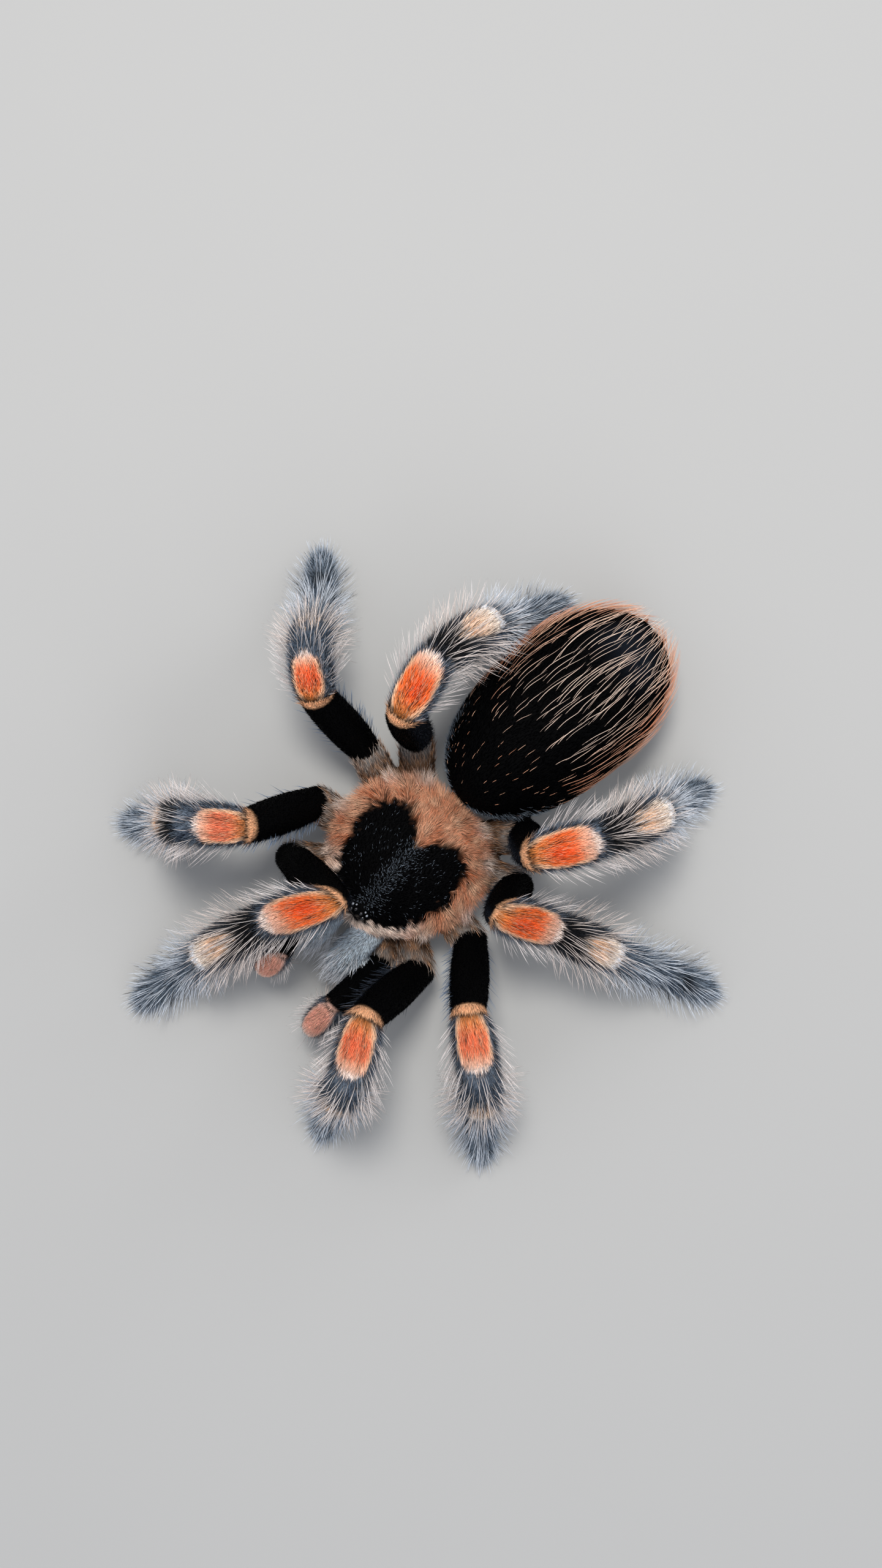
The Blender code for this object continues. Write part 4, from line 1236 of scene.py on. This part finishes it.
def setaFields(b):
    density = np.zeros(len(b.x))
    length = np.ones(len(b.x))
    lift = np.full(len(b.x), 0.8)
    onSide = ramp(0.2, 1.2, b.away)
    tibia = b.on("tibia")
    density[tibia] = (2.4 - 1.5 * tibiaWedge(b))[tibia]
    length[tibia] = (5.1 + 0.4 * b.along)[tibia]
    lift[tibia] = (0.55 + 0.45 * onSide)[tibia]
    metatarsus = b.on("metatarsus")
    density[metatarsus] = 2.6
    length[metatarsus] = (5.4 - 0.6 * b.along)[metatarsus]
    lift[metatarsus] = (0.6 + 0.45 * onSide)[metatarsus]
    tarsus = b.on("tarsus")
    tip = ramp(0.5, 1.0, b.along)
    density[tarsus] = (3.6 * (1 - 0.8 * footSpot(b)))[tarsus]
    length[tarsus] = (4.6 - 1.8 * tip)[tarsus]
    lift[tarsus] = (0.6 + 0.45 * onSide + 0.1 * tip)[tarsus]
    patella = b.on("patella")
    border = kneePatch(b)[1]
    density[patella] = (np.where(b.palp, 3.6, 2.6) * (1 - border) * ramp(0.05, 0.25, b.along))[patella]
    length[patella] = (2.8 + 2.0 * ramp(0.1, 0.5, b.along))[patella]
    lift[patella] = 0.8
    femur = b.on("femur")
    density[femur] = (2.4 * perLimb(b, femurFringe, 0.0) * ramp(1.35, 1.8, b.away))[femur]
    length[femur] = 2.6
    lift[femur] = 0.8
    # the first right leg leans over the eyes, so it is bare on the side that faces them
    overHead = (np.hypot(b.x, b.y + 7.5) < 5.5) & (b.limb == "leg_R1")
    density[overHead] *= 0.12
    return density, length * palpShare(b, 0.66), lift


def setaTint(b):
    # the setae start from a near white that is partly their own colour and partly a painted highlight
    tint = over(plainTone(b, "seta"), tints["mist"], 0.4 * b.on("metatarsus", "tarsus"))
    warm = np.where(b.on("tibia"), 1 - 0.7 * ramp(0.75, 1.0, b.along), np.where(b.on("patella"), 0.7, 0))
    tint = over(tint, tints["blossom"], 0.85 * warm)
    tint = over(tint, tints["blueGrey"], np.where(b.on("femur"), 0.9, 0.0))
    return over(tint, tints["smoke"], np.where(b.on("femur") & (b.limb == "leg_L1"), 0.9, 0.0))


kneeLook = {"Hairs per square mm": 42.0, "Spacing": 0.03 * mm, "Thickness": 0.09 * mm, "Segments": 2,
            "Taper": 2.2, "Shortest": 0.6, "Lift spread": 0.12, "Side spread": 0.2, "Bend along": 0.1,
            "Curl": 0.08}


def kneeFields(b):
    density = np.zeros(len(b.x))
    length = np.ones(len(b.x))
    lift = np.full(len(b.x), 0.24)
    border, share = kneePatch(b)[1:]
    hem, seam = kneeHem(b)
    patella = b.on("patella")
    density[patella] = (40 * np.maximum(border, hem) * (1 - ramp(0.15, 0.5, seam)))[patella]
    length[patella] = (1.3 + 0.5 * b.along - 0.6 * hem - 0.7 * ramp(0.8, 0.97, share))[patella]
    lift[patella] += (0.15 * ramp(0.85, 0.97, share) - 0.06 * hem)[patella]
    femur = b.on("femur")
    density[femur] = (34 * ramp(0.98, 1.0, b.along) * (1 - ramp(1.3, 1.9, b.away)))[femur]
    length[femur] = 0.5
    return density, length * palpShare(b, 0.75), lift


velvetLook = {"Hairs per square mm": 22.0, "Spacing": 0.05 * mm, "Thickness": 0.09 * mm, "Segments": 1,
              "Taper": 1.0, "Shortest": 0.6, "Lift spread": 0.25, "Side spread": 0.3, "Bend along": 0.0,
              "Curl": 0.0}


def velvetFields(b):
    density = np.zeros(len(b.x))
    femur = b.on("femur")
    below = np.where(b.palp, 0, ramp(1.9, 2.5, b.away))
    density[femur] = (20 * (1 - below) * (1 - ramp(0.97, 1.0, b.along)))[femur]
    length = np.full(len(b.x), 0.55)
    lift = np.full(len(b.x), 0.5)
    return density, length * palpShare(b, 0.85), lift


wedgeLook = {"Hairs per square mm": 60.0, "Spacing": 0.02 * mm, "Thickness": 0.1 * mm, "Segments": 2,
             "Taper": 2.4, "Shortest": 0.5, "Lift spread": 0.14, "Side spread": 0.16, "Bend along": 0.1,
             "Curl": 0.06}


def wedgeFields(b):
    # long streaks over the wedge, and a short bright fringe along its rim
    wedge = np.where(b.on("tibia"), tibiaWedge(b), 0)
    rim = tibiaRim(b)
    density = 20 * wedge * (1 - ramp(0.84, 0.9, b.along)) + 58 * rim
    length = 2.8 - 1.4 * ramp(0.5, 0.84, b.along) - 0.6 * rim
    return density, length * palpShare(b, 0.7), 0.2 + 0.45 * rim


def wedgeTint(b):
    tint = over(plainTone(b, "straw"), tints["cream"], ramp(0.45, 0.8, b.along))
    return over(tint, tints["seta"], ramp(0.84, 0.89, b.along))


lineLook = {"Hairs per square mm": 45.0, "Spacing": 0.05 * mm, "Thickness": 0.062 * mm, "Segments": 2,
            "Taper": 2.4, "Shortest": 0.6, "Lift spread": 0.06, "Side spread": 0.14, "Bend along": 0.05,
            "Curl": 0.1}


def dressLimbs():
    seam = kneeHem(body)[1]
    lines = 8 * ramp(0.25, 0.7, kneeLines(body)) + 42 * ramp(0.3, 0.8, seam)
    lines = np.where(body.on("patella"), lines, 0)
    dark = np.tile(tints["brown"] * 0.4, (len(body.x), 1))
    flat = np.ones(len(body.x))
    lineFields = (lines, (2.0 - 1.6 * ramp(0.1, 0.4, seam)) * palpShare(body, 0.6), 0.28 * flat)
    layers = (("underfur", underfurLook, coatTint, underfurFields(body), "underfur", "grey_setae", 11),
              ("setae", setaLook, setaTint(body), setaFields(body), "seta", "grey_setae", 31),
              ("knees", kneeLook, coatTint, kneeFields(body), "knee", "red_knee", 51),
              ("wedges", wedgeLook, wedgeTint(body), wedgeFields(body), "wedge", "grey_setae", 81),
              ("kneeLines", lineLook, dark, lineFields, "line", "black_velvet", 61),
              ("velvet", velvetLook, coatTint, velvetFields(body), "velvet", "black_velvet", 71))
    for name, look, tint, (density, length, lift), finish, slot, seed in layers:
        for number, group in enumerate(("right", "left")):
            mine = np.where(body.group == group, density, 0)
            growCoat(f"coat_{name}_{group}", {**look, "Seed": seed + 9 * number}, tint, mine, length, lift,
                     finishes[finish], slot)


dressLimbs()


rimLook = {"Hairs per square mm": 105.0, "Spacing": 0.02 * mm, "Thickness": 0.074 * mm, "Segments": 2,
           "Taper": 2.4, "Shortest": 0.5, "Lift spread": 0.12, "Side spread": 0.22, "Bend along": 0.1,
           "Bend in": 0.03, "Curl": 0.22, "Wave": 0.04, "Seed": 91}


def rimFields(b):
    shield = b.on("carapace") & (b.z > 9.1)
    degrees = np.degrees(b.away)
    front = (1 - ramp(45, 70, degrees)) * ramp(0.7, 0.85, b.along)
    density = np.where(shield, (76 + 26 * front) * (1 - ramp(0.3, 0.97, darkSaddle(b))), 0)
    length = 1.7 + 0.8 * ramp(0.8, 1.0, b.along)
    # pointed tufts reach out between the legs
    for middle in tuftPlaces:
        length += 1.3 * bump(middle, 6, degrees) * ramp(0.85, 1.0, b.along)
    length = length - 0.5 * front
    # at the edge, where the skin turns down, the hairs keep on outwards
    outward = unit(np.c_[b.x, b.y, np.zeros(len(b.x))])
    turned = np.arcsin(np.clip((outward * b.normals).sum(1), 0, 0.98))
    lift = 0.14 + 0.12 * ripple(b.points, 4 * mm, 2.7) * (1 - front) + (0.9 - 0.65 * front) * turned
    return density, length, lift


hipLook = {"Hairs per square mm": 12.0, "Spacing": 0.06 * mm, "Thickness": 0.085 * mm, "Segments": 2,
           "Taper": 2.2, "Shortest": 0.45, "Lift spread": 0.3, "Side spread": 0.35, "Bend along": 0.2,
           "Curl": 0.2, "Seed": 101}


def hipFields(b):
    coxa = b.on("coxa")
    above = 1 - ramp(1.6, 2.3, b.away)
    density = np.where(coxa, 2.5 + 7.5 * above, 0)
    density += np.where(b.on("pedicel"), 5.0, 0) + np.where(b.on("sternum"), 4.0, 0)
    length = np.where(coxa, 0.9 + 0.9 * ramp(0.55, 0.9, b.along) * above, 0.9)
    lift = np.full(len(b.x), 0.3)
    return density, length * palpShare(b, 0.8), lift


saddleLook = {"Hairs per square mm": 26.0, "Spacing": 0.04 * mm, "Thickness": 0.09 * mm, "Segments": 1,
              "Taper": 1.0, "Shortest": 0.6, "Lift spread": 0.25, "Side spread": 0.4, "Bend along": 0.0,
              "Curl": 0.0, "Seed": 111}


def saddleFields(b):
    shield = b.on("carapace", "mound")
    density = np.where(shield, 26 * ramp(0.2, 0.7, darkSaddle(b)), 0)
    return density, np.where(b.on("mound"), 0.3, 0.55), np.full(len(b.x), 0.45)


dustLook = {"Hairs per square mm": 26.0, "Spacing": 0.06 * mm, "Thickness": 0.048 * mm, "Segments": 3,
            "Taper": 2.4, "Shortest": 0.5, "Lift spread": 0.25, "Side spread": 0.4, "Bend along": 0.1,
            "Curl": 0.6, "Seed": 121}


def dustFields(b):
    # fine blue-grey hairs over the black, dense along the midline from the eyes to the pit, with faint
    # bands beside it
    dark = ramp(0.4, 0.9, darkSaddle(b))
    angle = np.degrees(np.abs(np.arctan2(b.x, -(b.y - 4.0))))
    bands = sum(0.12 * bump(degrees, 6, angle) for degrees in (34, 62, 96, 128))
    band = bump(0, 1.35, b.x) * ramp(-9.6, -7.6, b.y) * (1 - ramp(2.5, 4.0, b.y))
    density = np.where(b.on("carapace"), 24 * dark * (0.02 + bands + band), 0)
    # a thin pale fringe round the front of the abdomen
    fringe = np.where(b.on("abdomen"), bump(1.45, 0.22, b.away) * (1 - ramp(0.16, 0.3, b.along)), 0)
    length = np.where(b.on("abdomen"), 1.1, 0.45)
    return density + 12 * fringe, length, np.where(b.on("abdomen"), 0.7, 0.45)


jawLook = {"Hairs per square mm": 38.0, "Spacing": 0.03 * mm, "Thickness": 0.085 * mm, "Segments": 2,
           "Taper": 2.2, "Shortest": 0.6, "Lift spread": 0.2, "Side spread": 0.25, "Bend along": 0.15,
           "Curl": 0.1, "Seed": 131}
jawSetaLook = {"Hairs per square mm": 4.0, "Spacing": 0.2 * mm, "Thickness": 0.1 * mm, "Segments": 4,
               "Taper": 2.6, "Shortest": 0.5, "Lift spread": 0.25, "Side spread": 0.3, "Bend along": 0.3,
               "Curl": 0.12, "Seed": 141}


def dressTrunk():
    growCoat("coat_carapace_rim", rimLook, rimColours(body), *rimFields(body), finishes["rim"],
             "carapace_rim")
    growCoat("coat_hips", hipLook, coatTint, *hipFields(body), finishes["hip"], "brown_hip")
    growCoat("coat_saddle", saddleLook, coatTint, *saddleFields(body), finishes["velvet"], "black_velvet")
    growCoat("coat_saddle_dust", dustLook, plainTone(body, "mist"), *dustFields(body), finishes["dust"],
             "grey_setae")
    jaw = body.on("jaw")
    flat = np.full(len(body.x), 1.0)
    above = 1 - 0.6 * ramp(1.8, 2.4, body.away)
    fur = np.where(jaw, 36.0 * above, 0)
    growCoat("coat_jaws", jawLook, coatTint, fur, 0.85 * flat, 0.3 * flat, finishes["jaw"], "blue_grey_jaw")
    front = np.where(jaw, 4.0 * ramp(0.2, 0.6, body.along) * above, 0)
    growCoat("coat_jaw_setae", jawSetaLook, setaTint(body), front, 3.2 * flat, 0.45 * flat, finishes["seta"],
             "grey_setae")


dressTrunk()


abdomenVelvetLook = {"Hairs per square mm": 16.0, "Spacing": 0.06 * mm, "Thickness": 0.1 * mm,
                     "Segments": 1, "Taper": 1.0, "Shortest": 0.6, "Lift spread": 0.2,
                     "Side spread": 0.25, "Bend along": 0.0, "Curl": 0.0, "Seed": 151}
bristleLook = {"Hairs per square mm": 1.7, "Spacing": 0.6 * mm, "Thickness": 0.09 * mm, "Segments": 8,
               "Taper": 3.0, "Shortest": 0.66, "Lift spread": 0.05, "Side spread": 0.07,
               "Bend along": 0.0, "Bend in": 0.16, "Curl": 0.06, "Wave": 0.035, "Seed": 161}


def bristleFields(b):
    abdomen = b.on("abdomen")
    flank = ramp(0.7, 1.25, b.away) * (1 - ramp(1.7, 2.3, b.away))
    rear = ramp(0.75, 0.95, b.along)
    density = 0.25 + 0.3 * ramp(0.06, 0.2, b.along) + 0.25 * ramp(0.24, 0.45, b.along)
    density += 0.5 * flank * ramp(0.25, 0.5, b.along) + 0.3 * rear
    density *= 1 - 0.75 * ramp(2.2, 2.8, b.away)
    density *= ramp(0.02, 0.08, b.along)
    length = 1.1 + 7.2 * ramp(0.2, 0.6, b.along + 0.06 * flank) - 4.2 * ramp(0.84, 1.0, b.along) - 1.2 * flank
    lift = 0.17 + 0.1 * rear + 0.03 * flank
    return np.where(abdomen, density, 0), np.maximum(length, 0.8), np.broadcast_to(lift, b.x.shape)


def bristleTint(b):
    # pale and pinkish along the middle, partly the bristles' own colour and partly a painted glint; ginger at
    # the sides, the front and the rear
    ends = ramp(0.85, 0.98, b.along) + (1 - ramp(0.2, 0.42, b.along))
    ginger = np.clip(ramp(0.5, 1.2, b.away) + ends, 0, 1)
    tint = over(plainTone(b, "rimPink"), tints["rimPaleAndHighlight"], 0.5 + 0.4 * ginger)
    return over(tint, tints["ginger"], 0.8 * ginger * (0.65 + 0.35 * ripple(b.points, 5 * mm, 0.4)))


def dressAbdomen():
    spinneret = body.on("spinneret")
    density = np.where(body.on("abdomen"), 15.0, 0) + np.where(spinneret, 14, 0)
    velvet = density, np.where(spinneret, 0.5, 0.75), np.where(spinneret, 0.6, 0.3)
    growCoat("coat_abdomen_velvet", abdomenVelvetLook, coatTint, *velvet, finishes["velvet"],
             "abdomen_velvet")
    growCoat("coat_abdomen_bristles", bristleLook, bristleTint(body), *bristleFields(body),
             finishes["bristle"], "carapace_rim")


dressAbdomen()


# each eye: millimetres to the side of the midline and ahead of the mound's middle, its radius, how high it
# sits, and its tone
eyeLook = {"spots": ((0.46, -0.15, 0.30, 0.62, "dark"), (1.02, -0.5, 0.29, 0.38, "dark"),
                     (1.22, 0.12, 0.22, 0.3, "pearl"), (0.78, 0.36, 0.19, 0.52, "pearl")),
           "dark": (10, 10, 14), "pearl": (150, 155, 164), "squash": 0.92}


def eyeFinish(name, colour):
    material, bench = newFinish(name)
    base = bench.blend(bench.noise(3000.0, 2.0), colour * 0.6, colour)
    finishShader(bench, {"Base Color": base, "Roughness": 0.08, "Coat Weight": 0.6, "Coat Roughness": 0.03})
    return material


def hornFinish(name, colour, tipColour):
    material, bench = newFinish(name)
    streaks = bench.noise(2600.0, 3.0)
    relief = bench.node("ShaderNodeBump", None, {"Strength": 0.15, "Distance": 0.00005, "Height": streaks})
    finishShader(bench, {"Base Color": bench.blend(bench.painted("along"), colour, tipColour),
                         "Roughness": 0.18 + 0.15 * streaks, "Normal": relief, "Coat Weight": 0.3})
    return material


def ballMesh(centre, size, squash, segments=20, rounds=12):
    rings = []
    for turn in np.linspace(-math.pi / 2, math.pi / 2, rounds + 1)[1:-1]:
        reach = size * math.cos(turn)
        rings.append(ringRound(centre + up * size * squash * math.sin(turn), np.array((reach, 0, 0)),
                               np.array((0, reach, 0)), segments))
    return loftShell(rings)


def mergeShells(name, made, finish):
    mesh = meshFromArrays(name, *joinShells(made))
    mesh.shade_smooth()
    mesh.materials.append(finish)
    return showObject(name, mesh)


def addEyes():
    for tone in ("dark", "pearl"):
        balls = []
        for side, ahead, size, rise, kind in eyeLook["spots"]:
            if kind == tone:
                for sign, _ in bothSides:
                    centre = trunk(sign * side, eyeAlong + ahead, moundBase + rise)
                    balls.append(ballMesh(centre, size * mm, eyeLook["squash"]))
        piece = mergeShells(f"eyes_{tone}", balls, eyeFinish(f"{tone}Eye", paint(*eyeLook[tone])))
        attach(piece, "root")
        if tone == "dark":
            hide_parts("eyes")


def curvedCone(points, sizes, sides=16):
    points = np.array(points)
    rings = []
    for i, size in enumerate(sizes):
        ahead = unit(points[min(i + 1, len(points) - 1)] - points[max(i - 1, 0)])
        across = unit(np.cross(ahead, up + 0.01 * ahead[::-1]))
        rings.append(ringRound(points[i], across * size, np.cross(across, ahead) * size, sides))
    return loftShell(rings)


fangLook = {"colour": (36, 18, 14), "tip": (8, 6, 6), "rings": 15, "sides": 16, "thickness": 0.72}


def addFangs():
    finish = hornFinish("fangHorn", paint(*fangLook["colour"]), paint(*fangLook["tip"]))
    count, sides = fangLook["rings"], fangLook["sides"]
    for sign, sideName in bothSides:
        points, sizes = [], []
        for i in range(count):
            t = i / (count - 1)
            # an arc that starts in front of the jaw's end and curls back under it
            turn = math.radians(8 + 112 * t)
            drop, reach = 2.3 * math.sin(turn), 4.15 * math.cos(turn)
            points.append(trunk(sign * (2.7 - 0.5 * t), -12.4 - reach, 4.6 - drop))
            sizes.append(mm * (fangLook["thickness"] * (1 - t) ** 0.8 + 0.05))
        fang = mergeShells(f"fang_{sideName}_horn", [curvedCone(points, sizes, sides)], finish)
        share = np.repeat(np.linspace(0, 1, count), sides)
        writeField(fang.data, "along", np.r_[0, share, 1])
        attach(fang, "root")
        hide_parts(f"fang_{sideName}")


clawLook = {"colour": (30, 20, 18), "tip": (8, 6, 6), "rings": 7, "sides": 10, "thickness": 0.13}


def addClaws():
    finish = hornFinish("clawHorn", paint(*clawLook["colour"]), paint(*clawLook["tip"]))
    count, sides = clawLook["rings"], clawLook["sides"]
    cones = []
    for joints in limbJoints.values():
        ankle, tip = joints[-2:]
        ahead = unit((tip - ankle) * np.array((1, 1, 0)))
        side = np.cross(up, ahead)
        for sign, _ in bothSides:
            points, sizes = [], []
            for t in np.linspace(0, 1, count):
                points.append(tip + ahead * mm * (0.9 + 0.75 * t) + side * sign * mm * (0.3 + 0.1 * t)
                              + up * mm * (0.35 + 0.25 * math.sin(2.4 * t) - 0.75 * t))
                sizes.append(mm * (clawLook["thickness"] * (1 - t) + 0.02))
            cones.append(curvedCone(points, sizes, sides))
    claws = mergeShells("claws", cones, finish)
    share = np.r_[0, np.repeat(np.linspace(0, 1, count), sides), 1]
    writeField(claws.data, "along", np.tile(share, len(cones)))
    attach(claws, "root")


addEyes()
addFangs()
addClaws()
print("tarantula: eyes, fangs and claws in place")


studioLook = {
    "floor": (176, 175, 172), "floorReach": 3.0, "sky": (0.86, 0.9, 1.0), "skyStrength": 0.75,
    # each lamp: its place, its width, its power in watts and its colour
    "lamps": {"keyLamp": ((-0.14, 0.12, 0.5), 0.14, 2.0, (1.0, 0.98, 0.95)),
              "fillLamp": ((0.35, -0.2, 0.35), 0.4, 0.3, (0.92, 0.96, 1.0)),
              "backLamp": ((0.1, 0.45, 0.2), 0.25, 0.35, (1.0, 1.0, 1.0))},
}


def floorFinish():
    material, bench = newFinish("paleFloor")
    colour = paint(*studioLook["floor"])
    base = bench.blend(bench.noise(14.0, 3.0), colour * 0.97, colour)
    finishShader(bench, {"Base Color": base, "Roughness": 0.8, "Specular IOR Level": 0.2})
    return material


def addFloor():
    reach = studioLook["floorReach"]
    corners = [(x * reach, y * reach, 0) for x, y in ((-1, -1), (1, -1), (1, 1), (-1, 1))]
    mesh = meshFromArrays("floor", corners, [(0, 1, 2, 3)])
    mesh.materials.append(floorFinish())
    showObject("floor", mesh)


def addLamp(name, place, size, watts, colour):
    lamp = bpy.data.lights.new(name, "AREA")
    lamp.shape = "DISK"
    lamp.size = size
    lamp.energy = watts
    lamp.color = colour
    piece = showObject(name, lamp)
    piece.location = place
    aim = Vector((float(trunkMiddle[0]), float(trunkMiddle[1]), 0.01)) - Vector(place)
    piece.rotation_euler = aim.to_track_quat("-Z", "Y").to_euler()


def addStudio():
    addFloor()
    for name, values in studioLook["lamps"].items():
        addLamp(name, *values)
    world = bpy.data.worlds.new("softRoom")
    world.use_nodes = True
    sky = world.node_tree.nodes["Background"].inputs
    sky["Color"].default_value = (*studioLook["sky"], 1.0)
    sky["Strength"].default_value = studioLook["skyStrength"]
    bpy.context.scene.world = world
    bpy.context.scene.view_settings.view_transform = "Standard"


# straight down, turned so that the head points to the lower left
cameraLook = {"height": 240 * mm, "turn": 42, "lens": 38.2, "above": (-3.28, 11.18)}


def addCamera():
    camera = bpy.data.cameras.new("camera")
    camera.sensor_fit = "AUTO"
    camera.sensor_width = 36.0
    camera.lens = cameraLook["lens"]
    camera.clip_start = 0.01
    camera.clip_end = 20.0
    piece = showObject("camera", camera)
    x, y = (float(value) for value in trunk(*cameraLook["above"], 0)[:2])
    turn = Matrix.Rotation(math.radians(cameraLook["turn"]), 4, "Z")
    piece.matrix_world = Matrix.Translation((x, y, cameraLook["height"])) @ turn
    bpy.context.scene.camera = piece


addStudio()
addCamera()
print("tarantula: studio ready")
